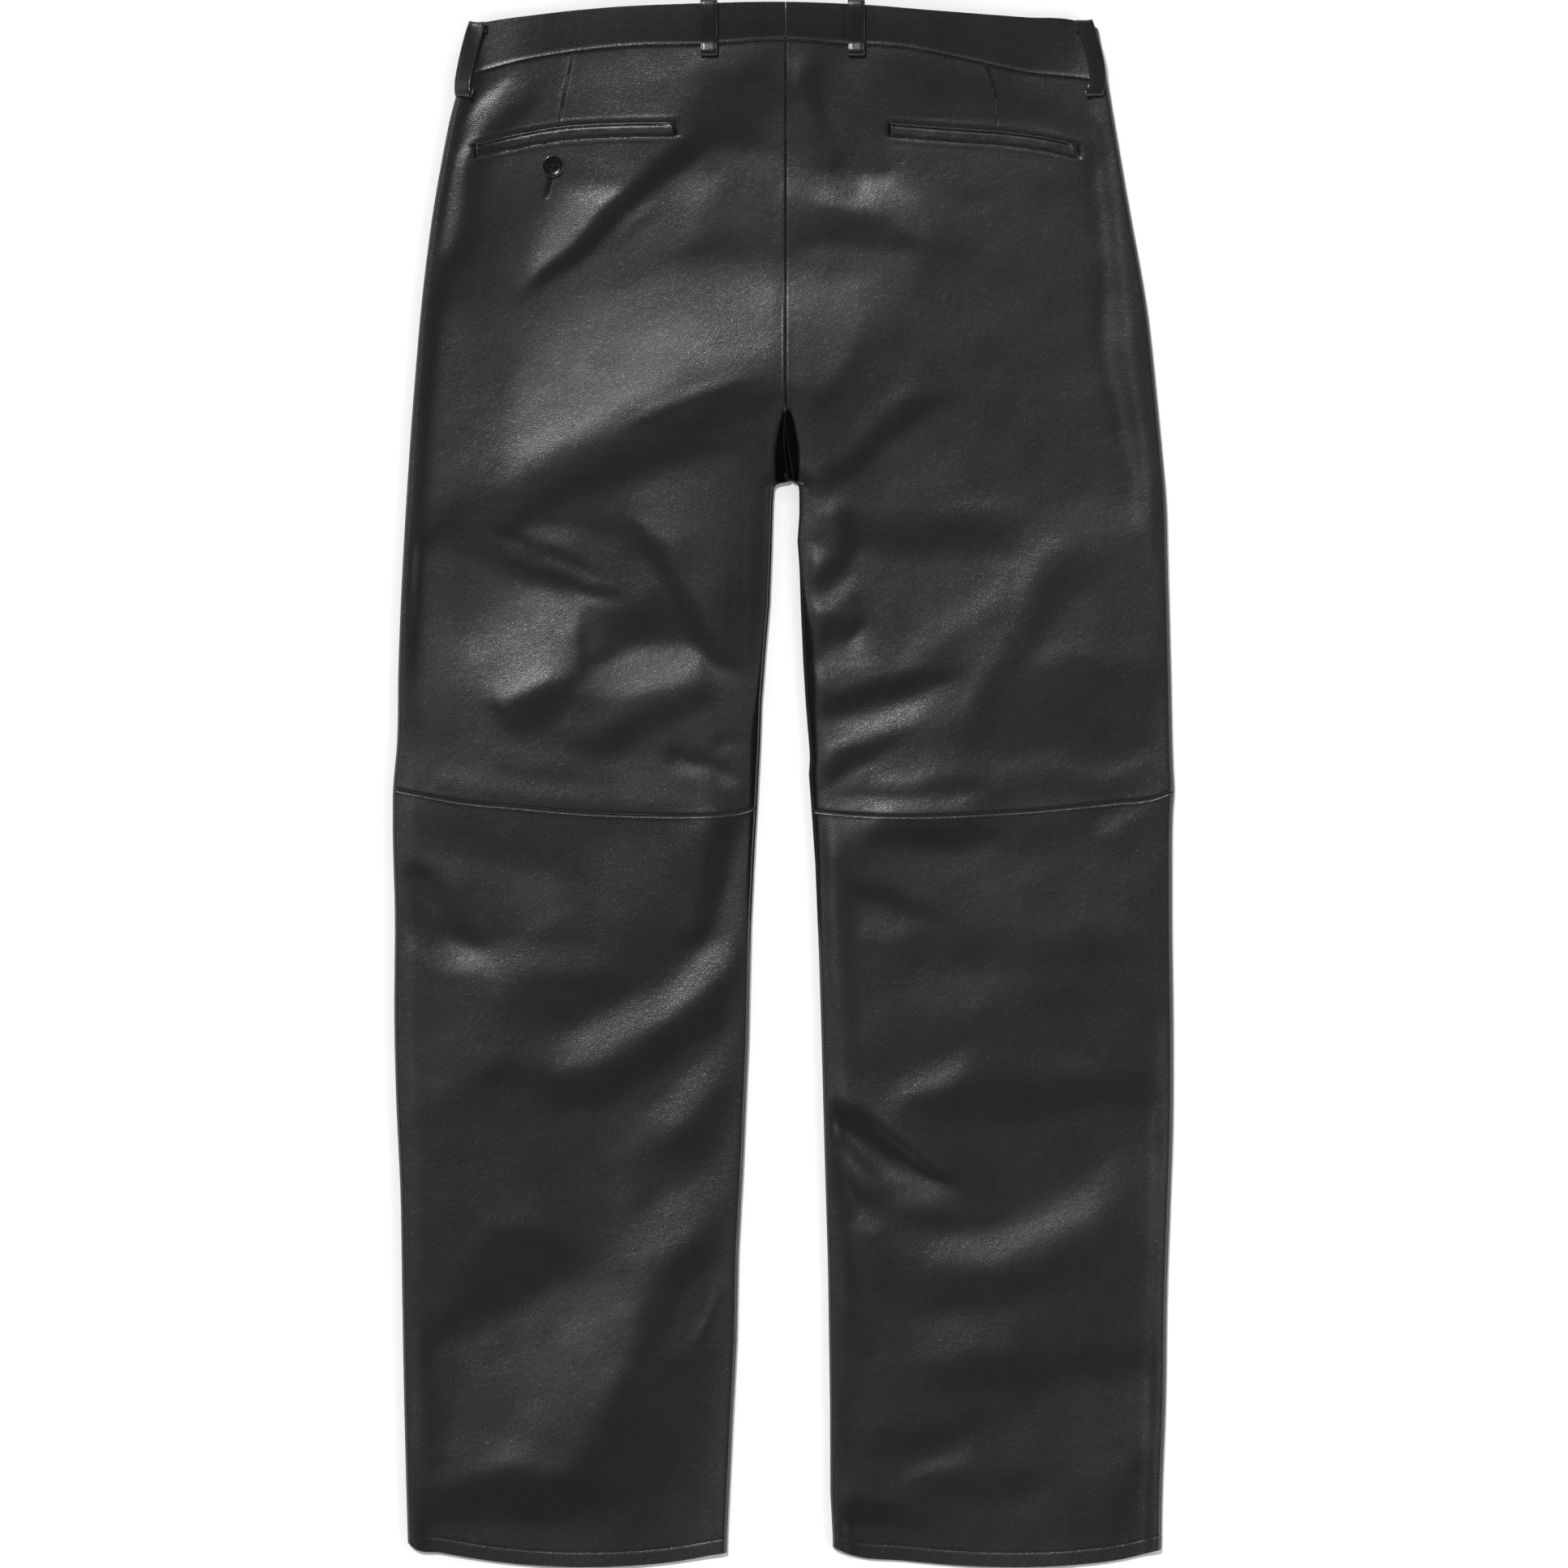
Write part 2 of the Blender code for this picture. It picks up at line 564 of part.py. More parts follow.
def make_closing(tape, steel):
    """The fly's closed zip on its tape and the waistband's hook plate, both on the inside of the fronts."""
    seam = float(across(FRONT_WAIST_SEAM, CENTRE))
    zip_z = LEATHER + SEAM + ZIP_TAPE / 2
    block("fly_zip", (CENTRE, seam - 2 - ZIP_LENGTH / 2, zip_z), (ZIP_WIDTH, ZIP_LENGTH, ZIP_TAPE), tape, 0.2)
    top = float(across(FRONT_TOP, CENTRE))
    plate_z = BAND + SEAM + HOOK_PLATE[2] / 2
    block("waist_hook", (CENTRE, (seam + top) / 2, plate_z), HOOK_PLATE, steel, 0.25)


def main():
    for thing in list(bpy.data.objects):
        bpy.data.objects.remove(thing)
    hide = finish("black leather", (0.030, 0.028, 0.027), 0.42)
    horn = finish("dark horn", (0.022, 0.018, 0.015), 0.30)
    tape = finish("zip tape", (0.015, 0.015, 0.016), 0.85)
    steel = finish("hook steel", (0.45, 0.45, 0.46), 0.35, metallic=1.0)
    for name, welt in WELTS.items():
        leg = Leg(name)
        panel = make_panels(leg, hide)
        band = make_waistband(leg, hide)
        make_loops(leg, band, hide)
        make_welt(f"pocket_welt_{name}", welt, panel, hide)
        if name == "left":
            make_button(panel, horn)
    make_closing(tape, steel)


main()
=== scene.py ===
"""Leather trousers laid flat, front down: the finished look of every piece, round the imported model.

X runs from the wearer's left to their right, +Y from the hems to the waist, and Z = 0 is the surface that
the fronts lie on. The shape tables are in millimetres and the scene is in metres.
"""

from collections import namedtuple
from math import cos, pi, radians, sin

import bmesh
import bpy
import numpy as np
from bpy.props import FloatProperty, FloatVectorProperty, PointerProperty
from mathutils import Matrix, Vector


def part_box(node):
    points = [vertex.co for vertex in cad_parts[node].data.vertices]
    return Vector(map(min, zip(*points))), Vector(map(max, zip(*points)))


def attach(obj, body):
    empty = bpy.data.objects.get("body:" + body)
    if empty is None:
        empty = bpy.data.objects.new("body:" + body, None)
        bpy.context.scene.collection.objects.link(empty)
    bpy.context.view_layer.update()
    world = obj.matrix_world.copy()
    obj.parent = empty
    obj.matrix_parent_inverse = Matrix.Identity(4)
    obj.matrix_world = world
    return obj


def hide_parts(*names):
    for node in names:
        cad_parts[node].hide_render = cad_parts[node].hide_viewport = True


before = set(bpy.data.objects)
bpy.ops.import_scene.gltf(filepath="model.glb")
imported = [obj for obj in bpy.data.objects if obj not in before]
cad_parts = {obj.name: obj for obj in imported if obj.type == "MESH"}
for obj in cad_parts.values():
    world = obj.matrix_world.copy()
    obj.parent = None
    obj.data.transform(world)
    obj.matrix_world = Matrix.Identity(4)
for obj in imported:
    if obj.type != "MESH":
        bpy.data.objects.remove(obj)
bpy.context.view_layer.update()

bl_info = {
    "name": "Leather Trousers",
    "version": (1, 0, 0),
    "blender": (4, 5, 0),
    "location": "View3D > Sidebar > Trousers",
    "description": "Builds black leather trousers laid flat, with their folds, seams, pockets and studio",
    "category": "Mesh",
}

MM = 0.001

# Driving dimensions, in millimetres.
SEAM = 0.3  # space between neighbouring pieces
MID_LEG = 150.0  # X about half way across either leg
SIDE_FOLD = 3.3  # radius of the soft fold along outseams and inseams
ALLOWANCE = 10.0  # reach of the seam allowances inside that fold
LAID = 6.2  # height of a back panel where it lies quietly on its front
LOWEST = 3.3  # a trough goes no lower, or the back would cut into the front
BOTTOMING = 1.5  # how sharply it flattens out there
BAND_PROUD = 0.8  # the waistband stands that far over the backs at its seam
CENTRE = 1.4  # X of the centre back and centre front seams
CROTCH = 212.5  # Y of the crotch point
CROTCH_SHIFT = 3.6  # the seam ends that far to the right of its line
BACK_TURN = 62.0  # the inner edges turn down to a fold over that distance above the crotch
FRONT_TURN = 12.0
HOLLOW_TOP = 51.0  # the hollow over the crotch reaches that far up
HOLLOW_HALF = 9.5  # and is that wide from its middle
HOLLOW_SHIFT = 1.2  # which is that far to the right of the centre seam
HOLLOW_DEPTH = 0.5
SHADE_END = -130.0  # the painted shade along the inseams has faded out at that Y
HEM_STITCH = 10.3  # the hem is turned up and stitched that far over its edge
KNEE_STITCH = 1.9  # the knee's stitching runs that far below its seam
WAIST_STITCH = 0.75  # and the waist's below its own
STITCH_INSET = 1.0  # stitching stops that far from a panel's edges
STITCH_SHARE = 0.78  # the thread's share of the distance from stitch to stitch
SATIN_STEP = 0.55  # distance from stitch to stitch along the buttonhole
SATIN_OFF = 1.15  # and from its middle line to the middle of each
SATIN_LENGTH = 1.5
INNER_FOLD = 1.3  # the shaded strip along the folds under the crotch
WELT_SUNK = 1.05  # the pocket mouth's surface lies that far below the panel
WELT_END = 0.6  # a welt ends that far inside its pocket's mouth
WELT_STITCHES = (-6.3, 6.5)  # the rows of stitches below and above a welt's middle
WELT_END_ROWS = (1.3, 2.9)  # two rows stand that far beyond its inner end
TACK_ROWS = (-5.2, -3.1, -1.0, 1.1, 3.2, 5.3)  # and a bar tack's threads cross its outer end at these heights
TACK_HALF = 1.6
BACK_LOOP_AT = {"left": -52.5, "right": 51.0}
LOOP_STITCH = 0.36  # a loop is stitched at that share of its width from its middle
BUTTON_AT = (-162.0, 434.3)
BUTTON_RADIUS = 8.0
HOLE_RING = 2.0  # radius of the ring that the button's four holes are on
HOLE_RADIUS = 0.85
DRILL_DEPTH = 12.0
CROSS_UP = 1.75  # the cross of thread lies that far over the button's back
CROSS_LENGTH = 4.4
CROSS_THREAD = 0.42
CROSS_STRANDS = (-0.35, 0.0, 0.35)

ROLL_STEPS = np.radians(np.linspace(0, 90, 9))  # a folded edge has points at these angles
INNER_STRIP = 2.0  # where an inner edge isn't folded, those points lie on a strip of that width
PAINTED_SHADE_DEPTHS = (0.2, 0.5)  # painted shade: the colour in a groove is painted darker from the first depth, and black at the second

# The map on which the relief of the backs is worked out.
MAP_STEP = 1.5
MAP_BLUR = 2.2  # the finished relief is blurred over that distance
BLUR_CELLS = 4
LOOSE = 0.12  # how firmly the leather holds level where no stretch says how it lies
MAP_X = (np.arange(512) - 256) * MAP_STEP
MAP_Y = (np.arange(1024) - 512) * MAP_STEP
REACH = 160.0  # a fold lifts the leather no further away than about this
EDGE_REACH = 7.0  # the relief fades over that distance to the folded edges
CALM = 0.6  # it loses that share beside the left inseam
CALM_REACH = 22.0
TABLE_REACH = 700.0  # no point of the trousers is further from the middle of the table
ROUNDS = 24  # how often the slopes between the stretches are worked out anew
CROWN_CELL = 8.0  # a fold's crown is found against the mean height of three by three cells of that size


def table(kind, *rows):
    """Rows with named columns."""
    return [kind(*row) for row in rows]


# Each leg's two edges from waist to hem.
Edge = namedtuple("Edge", "y x")
LEFT_OUTER = table(Edge,
    (540, -216), (505, -224), (496, -226.5), (467, -234.3), (438, -240), (407, -245.4), (351, -252.8),
    (282, -259.1), (201, -264.8), (127, -268.8), (82, -270.5), (27, -271.6), (-3, -274.2), (-27, -274.5),
    (-90, -273), (-171, -273.3), (-217, -272.2), (-289, -269), (-354, -267.9), (-445, -266.2),
    (-531, -263.9),
)
RIGHT_OUTER = table(Edge,
    (540, 219), (493, 227.7), (467, 232), (440, 236.6), (399, 243.7), (365, 250), (331, 255.6), (301, 259.1),
    (267, 262.5), (238, 265.3), (201, 268.5), (154, 269.9), (77, 271.9), (10, 273.6), (-3, 274.2),
    (-18, 273.3), (-74, 272.7), (-185, 273.6), (-242, 273.3), (-299, 271.3), (-357, 269.3), (-432, 268.2),
    (-508, 265.6), (-537, 265.3),
)
LEFT_INSEAM = table(Edge,
    (211.6, -1), (210.4, -5), (207.5, -6.8), (197, -7.4), (163, -8.3), (127, -9.7), (91, -12.8), (55, -15.4),
    (29, -16.2), (-16, -18.5), (-45, -20.2), (-99, -22.8), (-180, -24.5), (-272, -28.5), (-327, -31.6),
    (-390, -32.8), (-445, -35.6), (-530, -39.6),
)
RIGHT_INSEAM = table(Edge,
    (211.8, 8.5), (210.4, 10.3), (206, 10.9), (190, 11.1), (171, 9.7), (152, 11.1), (124, 12), (86, 13.7),
    (58, 15.4), (20, 18.5), (7, 17.7), (-20, 19.7), (-56, 22.2), (-119, 24.8), (-176, 26.5), (-261, 28.8),
    (-338, 31.1), (-432, 32.5), (-498, 32.8), (-529, 34.5),
)

# Edges and seams that run across the trousers.
Across = namedtuple("Across", "x y")
BACK_TOP = table(Across,
    (-226, 531), (-218, 533.2), (-171, 540.6), (-126, 545.2), (-60, 548.1), (1, 549.2), (56, 547.2),
    (102, 543.5), (170, 538.4), (205, 536.1), (220, 531), (230, 528),
)
BACK_WAIST_SEAM = table(Across,
    (-232, 494), (-221, 497.9), (-187, 507.6), (-159, 512.7), (-106, 518.6), (-60, 519.6), (1, 523),
    (44, 520.1), (79, 518.4), (127, 509.3), (170, 499.9), (208, 496.2), (228, 493.3),
)
FRONT_TOP = table(Across,
    (-226, 531), (-218, 533.2), (-190, 527), (0, 508), (190, 527), (220, 531), (230, 528),
)
FRONT_WAIST_SEAM = table(Across,
    (-232, 494), (-221, 497.9), (-190, 491), (0, 470), (190, 489), (218, 494.8), (228, 493.3),
)
KNEE_SEAM = table(Across,
    (-276, -3), (-258, -6.6), (-231, -11.7), (-186, -16.2), (-140, -20.2), (-95, -21.9), (-58, -21.9),
    (-33, -20.2), (-18, -16.2), (19, -18.5), (53, -21.4), (82, -22.5), (118, -21.9), (158, -19.7),
    (195, -16.8), (233, -12.8), (261, -9.4), (276, -3.7),
)
HEM = table(Across,
    (-266, -530), (-261, -535), (-240, -539.5), (-186, -547.5), (-131, -549.6), (-77, -545.8), (-40, -539.5),
    (34, -535.3), (45, -540.1), (86, -545.2), (148, -549.6), (204, -548.1), (237, -544.1), (266, -537),
)

# How far the waistband climbs from its seam to its upper edge, along the waist; y is that height.
BAND_CLIMB = table(Across,
    (-232, -1.2), (-208, -0.8), (-180, 0.8), (-130, 1.8), (-80, 3.0), (0, 3.7), (70, 3.4), (150, 2.8),
    (180, 1.6), (206, -1.0), (228, -1.6),
)

# How the leather lies between its folds: stretches that tilt by so many degrees and face a way, which is 0 to
# the right, 90 to the waist and 180 to the left. Their outlines are soft over a margin. Later ones lie over
# earlier ones, and the slopes are settled into one surface.
Facet = namedtuple("Facet", "tilt faces soft outline")
FACETS = table(Facet,
    # left seat
    (0.4, 300, 20, ((-262, 500), (-4, 520), (-4, 290), (-60, 262), (-262, 210))),
    (6.9, 130, 14, ((-188, 338), (-150, 368), (-112, 398), (-92, 408), (-84, 392), (-62, 368), (-20, 358),
        (-2, 352), (-2, 294), (-50, 290), (-90, 272), (-122, 252), (-150, 236), (-192, 220), (-190, 290))),
    (8.1, 130, 8, ((-62, 352), (-2, 350), (-2, 306), (-40, 306), (-60, 322))),
    (1.6, 300, 12, ((-66, 402), (-50, 428), (-4, 424), (-4, 366), (-70, 372))),
    (4.8, 128, 8, ((-160, 346), (-128, 374), (-96, 402), (-70, 432), (-46, 426), (-56, 388), (-84, 358),
        (-130, 340))),
    (10.5, 130, 8, ((-186, 356), (-178, 392), (-160, 420), (-112, 424), (-104, 416), (-132, 392),
        (-164, 362))),
    (13.0, 306, 4, ((-190, 338), (-168, 353), (-140, 376), (-112, 400), (-88, 421), (-58, 442),
        (-34, 474), (-74, 449), (-96, 429), (-118, 409), (-144, 386), (-172, 362))),
    (3.6, 130, 10, ((-196, 446), (-110, 452), (-96, 430), (-146, 424), (-176, 408))),
    (4.4, 310, 12, ((-228, 440), (-204, 436), (-186, 396), (-198, 340), (-236, 330))),
    (13.0, 160, 4, ((-246, 372), (-241, 420), (-234, 446), (-220, 444), (-225, 420), (-229, 372))),
    (6.0, 142, 5, ((-236, 446), (-222, 472), (-198, 500), (-187, 496), (-204, 472), (-222, 443))),
    (7.0, 335, 5, ((-226, 376), (-221, 424), (-214, 446), (-198, 470), (-180, 488), (-174, 480),
        (-190, 462), (-204, 440), (-213, 414), (-216, 376))),
    (2.4, 120, 12, ((-158, 508), (-80, 514), (-66, 480), (-84, 466), (-150, 466))),
    (6.2, 300, 8, ((-60, 500), (-30, 500), (-4, 518), (-4, 446), (-38, 446), (-60, 452))),
    # left thigh
    (0.9, 120, 12, ((-262, 330), (-200, 320), (-196, 232), (-262, 180))),
    (1.2, 300, 12, ((-150, 214), (-20, 226), (-16, 60), (-110, 120), (-150, 186))),
    (5.6, 300, 11, ((-222, 174), (-150, 218), (-112, 237), (-74, 240), (-58, 228), (-110, 210),
        (-150, 198), (-190, 181))),
    (4.6, 300, 8, ((-92, 252), (-50, 270), (-8, 280), (-2, 266), (-30, 256), (-80, 238))),
    (2.2, 120, 14, ((-110, 204), (-60, 222), (-20, 226), (-18, 150), (-50, 140), (-70, 170))),
    (3.6, 110, 6, ((-186, 180), (-150, 180), (-110, 167), (-86, 145), (-98, 134), (-130, 154), (-170, 168))),
    (9.0, 290, 4, ((-234, 172), (-190, 154), (-150, 136), (-116, 130), (-116, 138), (-150, 145),
        (-190, 163))),
    (9.4, 130, 6, ((-242, 160), (-228, 158), (-192, 146), (-156, 130), (-146, 116), (-152, 96),
        (-142, 76), (-165, 72), (-198, 58), (-220, 96))),
    (3.6, 130, 5, ((-146, 118), (-138, 116), (-130, 92), (-142, 90))),
    (1.5, 120, 8, ((-140, 62), (-60, 72), (-56, 60), (-96, 42), (-126, 24), (-150, 26))),
    (7.4, 115, 6, ((-152, 66), (-110, 62), (-55, 78), (-58, 98), (-95, 98), (-142, 84))),
    (5.0, 300, 8, ((-135, 124), (-85, 128), (-74, 106), (-125, 98))),
    (14.0, 238, 6, ((-110, 180), (-80, 170), (-68, 140), (-55, 118), (-26, 84), (-45, 82), (-73, 105),
        (-82, 140), (-102, 165))),
    (5.0, 300, 8, ((-172, 10), (-145, 28), (-112, 48), (-58, 74), (-50, 62), (-90, 42), (-120, 20),
        (-150, 6))),
    (2.6, 120, 8, ((-236, 26), (-190, 18), (-110, -4), (-60, -8), (-110, 14), (-160, 30), (-220, 40))),
    (5.0, 290, 6, ((-196, 60), (-165, 73), (-150, 66), (-160, 46), (-185, 44))),
    (1.8, 120, 8, ((-244, 62), (-206, 50), (-200, 4), (-236, 10))),
    (3.0, 100, 5, ((-250, 4), (-180, -6), (-60, -14), (-60, -6), (-180, 6), (-240, 16))),
    # left shin
    (1.2, 300, 16, ((-262, -20), (-34, -30), (-40, -540), (-250, -535))),
    (3.3, 120, 10, ((-250, -34), (-226, -54), (-160, -62), (-152, -90), (-176, -116), (-206, -90),
        (-236, -64))),
    (1.6, 120, 14, ((-140, -34), (-70, -34), (-74, -100), (-130, -96))),
    (11.0, 262, 6, ((-258, -56), (-246, -62), (-222, -92), (-206, -114), (-216, -118), (-238, -98))),
    (6.5, 80, 6, ((-264, -70), (-256, -72), (-240, -106), (-212, -122), (-206, -138), (-236, -136),
        (-260, -114))),
    (2.1, 110, 8, ((-206, -112), (-134, -108), (-128, -130), (-200, -138))),
    (4.5, 300, 9, ((-182, -136), (-110, -130), (-104, -150), (-150, -172), (-196, -160))),
    (14.0, 325, 6, ((-52, -26), (-30, -24), (-34, -52), (-44, -80), (-58, -110), (-68, -116), (-60, -92),
        (-54, -60))),
    (3.9, 140, 5, ((-32, -56), (-24, -56), (-25, -88), (-38, -96), (-40, -84))),
    (7.2, 125, 8, ((-25, -84), (-42, -102), (-66, -120), (-90, -142), (-90, -168), (-66, -154),
        (-44, -132), (-25, -112))),
    (4.2, 120, 10, ((-86, -142), (-122, -162), (-156, -176), (-156, -198), (-118, -194), (-86, -170))),
    (7.0, 300, 9, ((-26, -118), (-44, -138), (-70, -162), (-104, -186), (-130, -200), (-160, -198),
        (-204, -190), (-206, -206), (-160, -226), (-120, -224), (-80, -196), (-50, -176), (-30, -150))),
    (1.2, 120, 12, ((-254, -140), (-206, -144), (-200, -182), (-214, -212), (-250, -214))),
    (4.5, 125, 6, ((-30, -166), (-44, -182), (-62, -204), (-96, -232), (-88, -244), (-56, -226),
        (-32, -196))),
    (4.4, 300, 8, ((-30, -206), (-56, -236), (-86, -254), (-60, -262), (-30, -250))),
    (2.2, 180, 8, ((-122, -250), (-104, -250), (-100, -330), (-124, -330))),
    (3.3, 125, 8, ((-42, -264), (-70, -280), (-98, -300), (-130, -344), (-100, -340), (-62, -314),
        (-42, -290))),
    (6.2, 320, 7, ((-42, -306), (-66, -322), (-100, -364), (-120, -420), (-126, -452), (-104, -452),
        (-92, -400), (-64, -352), (-42, -332))),
    (4.2, 125, 12, ((-236, -402), (-190, -378), (-140, -350), (-100, -340), (-110, -400), (-128, -440),
        (-150, -482), (-196, -478), (-204, -420))),
    (6.2, 290, 8, ((-240, -388), (-222, -376), (-180, -364), (-146, -344), (-150, -316), (-206, -312),
        (-222, -360))),
    (3.0, 130, 7, ((-236, -398), (-200, -380), (-150, -366), (-160, -380), (-214, -406))),
    (4.2, 300, 12, ((-106, -396), (-44, -390), (-44, -500), (-92, -500), (-124, -460))),
    (9.0, 280, 9, ((-244, -492), (-196, -482), (-150, -484), (-130, -496), (-140, -516), (-190, -518),
        (-244, -512))),
    (3.6, 120, 6, ((-178, -462), (-148, -450), (-140, -474), (-172, -482))),
    (6.2, 330, 6, ((-262, -392), (-248, -392), (-236, -440), (-240, -480), (-262, -470))),
    # right seat
    (1.2, 300, 20, ((4, 520), (240, 500), (262, 210), (30, 210), (4, 290))),
    (2.4, 120, 6, ((6, 482), (22, 480), (28, 450), (36, 430), (20, 428), (8, 440))),
    (12.0, 335, 4, ((16, 506), (26, 504), (36, 470), (50, 438), (36, 436), (24, 466), (14, 490))),
    (1.5, 140, 6, ((32, 504), (52, 500), (66, 460), (76, 432), (58, 436), (42, 464))),
    (6.2, 300, 5, ((58, 480), (66, 478), (78, 440), (100, 410), (92, 408), (70, 436))),
    (8.0, 115, 5, ((18, 434), (42, 431), (66, 428), (70, 410), (66, 403), (44, 405), (26, 412))),
    (6.9, 295, 7, ((5, 420), (22, 408), (48, 400), (72, 396), (92, 384), (72, 376), (44, 382), (5, 378))),
    (12.0, 135, 5, ((60, 432), (80, 430), (94, 410), (106, 382), (88, 390), (66, 402), (54, 410))),
    (4.4, 120, 8, ((3, 366), (20, 362), (48, 350), (58, 334), (48, 300), (28, 276), (3, 282))),
    (6.0, 120, 5, ((3, 350), (14, 346), (14, 290), (3, 290))),
    (6.2, 300, 12, ((66, 512), (150, 500), (196, 472), (204, 458), (150, 462), (76, 464))),
    (3.8, 310, 6, ((140, 502), (156, 500), (206, 462), (196, 460))),
    (1.5, 120, 6, ((160, 502), (206, 496), (210, 468), (196, 472))),
    (3.8, 300, 8, ((96, 446), (132, 420), (150, 418), (150, 408), (120, 408), (90, 432))),
    (4.0, 345, 6, ((208, 440), (217, 440), (222, 380), (229, 330), (238, 270), (240, 220), (230, 230),
        (218, 330), (210, 396))),
    (12.0, 165, 5, ((217, 444), (229, 440), (235, 380), (244, 320), (254, 240), (260, 180), (248, 190),
        (239, 260), (228, 330), (220, 380))),
    # right thigh
    (2.1, 120, 6, ((86, 286), (70, 268), (42, 232), (50, 226), (76, 256), (94, 276))),
    (7.0, 300, 7, ((96, 280), (78, 264), (52, 236), (20, 214), (22, 204), (58, 226), (90, 256), (112, 268))),
    (0.4, 120, 12, ((74, 240), (128, 236), (124, 202), (76, 200))),
    (5.0, 280, 12, ((54, 190), (130, 188), (160, 176), (156, 160), (90, 162), (54, 172))),
    (1.2, 120, 10, ((48, 156), (110, 152), (158, 146), (156, 122), (126, 106), (60, 112))),
    (3.0, 130, 6, ((70, 80), (82, 80), (112, 100), (150, 130), (156, 146), (126, 134), (92, 104))),
    (10.0, 330, 4, ((34, 196), (44, 192), (50, 170), (44, 152), (26, 142), (24, 148), (38, 158), (38, 176))),
    (6.9, 110, 4, ((14, 168), (26, 166), (34, 160), (26, 154), (14, 158))),
    (6.0, 110, 5, ((26, 140), (36, 142), (52, 150), (50, 136), (34, 126))),
    (7.0, 300, 5, ((24, 122), (42, 122), (54, 112), (46, 100), (22, 98))),
    (3.0, 150, 5, ((52, 122), (62, 118), (62, 92), (54, 96))),
    (5.4, 110, 5, ((28, 94), (54, 92), (58, 84), (40, 80), (28, 84))),
    (8.0, 290, 6, ((18, 74), (38, 62), (64, 74), (98, 84), (122, 78), (100, 70), (70, 60), (40, 46),
        (20, 50))),
    (6.9, 110, 5, ((36, 34), (60, 48), (84, 60), (108, 64), (112, 50), (90, 42), (64, 38))),
    (2.4, 110, 7, ((104, 66), (124, 72), (122, 46), (98, 36))),
    (7.0, 290, 5, ((22, 12), (38, 26), (62, 32), (80, 34), (70, 24), (48, 15), (26, 3))),
    (0.8, 110, 6, ((52, 6), (66, 24), (96, 26), (92, 12), (66, 4))),
    (5.4, 110, 5, ((66, 8), (84, 9), (102, 4), (92, -2), (72, 0))),
    (4.0, 300, 7, ((44, -4), (70, -8), (104, -6), (140, 0), (120, 6), (96, -2), (70, 2))),
    (4.2, 310, 12, ((196, 160), (180, 140), (162, 104), (140, 60), (132, 30), (150, 30), (166, 66),
        (184, 108), (202, 140))),
    (2.6, 300, 12, ((150, 76), (250, 90), (256, 24), (150, 20))),
    (1.8, 290, 10, ((150, 12), (230, 4), (258, 12), (258, -4), (190, -12), (140, -14))),
    (5.5, 155, 3, ((250, 236), (254, 236), (266, 120), (270, 84), (264, 88), (258, 130))),
    # right shin
    (2.0, 300, 16, ((34, -26), (262, -20), (262, -530), (40, -530))),
    (5.5, 120, 5, ((34, -6), (60, -8), (78, -18), (62, -32), (52, -46), (42, -38), (34, -20))),
    (9.5, 280, 6, ((58, -36), (70, -27), (92, -24), (126, -26), (150, -38), (132, -45), (92, -42),
        (64, -44))),
    (0.4, 120, 12, ((56, -50), (160, -52), (256, -40), (256, -104), (200, -106), (140, -98), (84, -74),
        (52, -62))),
    (4.5, 120, 5, ((228, -24), (246, -22), (242, -38), (226, -40))),
    (8.0, 255, 5, ((46, -68), (66, -70), (96, -84), (116, -98), (94, -96), (66, -84), (48, -80))),
    (4.5, 120, 6, ((48, -84), (66, -88), (86, -100), (76, -110), (58, -104))),
    (8.0, 320, 6, ((22, -50), (38, -54), (44, -90), (60, -110), (62, -120), (48, -118), (32, -100))),
    (6.2, 330, 6, ((34, -120), (44, -124), (52, -150), (48, -176), (40, -164))),
    (3.8, 290, 10, ((90, -98), (150, -106), (236, -116), (236, -128), (150, -130), (96, -122))),
    (0.3, 120, 10, ((90, -134), (150, -132), (150, -160), (94, -162))),
    (3.8, 290, 10, ((152, -140), (206, -140), (206, -190), (160, -180))),
    (3.6, 290, 8, ((66, -178), (110, -172), (116, -186), (96, -194), (66, -198))),
    (3.0, 115, 7, ((72, -212), (96, -202), (124, -192), (126, -206), (100, -218), (78, -226))),
    (5.8, 290, 9, ((90, -220), (150, -206), (200, -204), (254, -200), (254, -224), (180, -232),
        (110, -238))),
    (22.0, 236, 3, ((32, -219), (54, -226), (72, -240), (90, -258), (124, -282), (102, -279), (74, -263),
        (55, -245), (34, -232))),
    (13.5, 64, 4, ((32, -234), (46, -240), (62, -258), (88, -282), (74, -288), (52, -266), (38, -248))),
    (12.0, 236, 5, ((30, -254), (42, -256), (66, -292), (56, -296), (40, -278))),
    (2.1, 120, 6, ((74, -282), (124, -282), (128, -296), (84, -298))),
    (6.0, 120, 4, ((50, -300), (62, -300), (74, -310), (66, -318), (54, -312))),
    (6.2, 290, 7, ((80, -304), (110, -302), (156, -304), (150, -318), (100, -320))),
    (4.0, 120, 12, ((84, -318), (140, -312), (174, -302), (206, -278), (232, -262), (230, -296),
        (194, -324), (150, -340), (100, -338))),
    (4.8, 290, 10, ((56, -318), (74, -328), (100, -342), (150, -346), (196, -338), (232, -312),
        (234, -330), (200, -354), (140, -368), (100, -362), (70, -344))),
    (1.5, 150, 5, ((54, -322), (64, -330), (72, -372), (62, -372))),
    (8.0, 320, 6, ((34, -300), (46, -304), (56, -350), (72, -396), (62, -402), (46, -376), (36, -340))),
    (0.9, 110, 9, ((74, -374), (160, -370), (160, -396), (90, -402))),
    (5.0, 290, 9, ((100, -406), (180, -398), (256, -396), (256, -416), (170, -426), (110, -424))),
    (0.9, 120, 10, ((170, -428), (256, -422), (250, -470), (200, -500), (150, -470))),
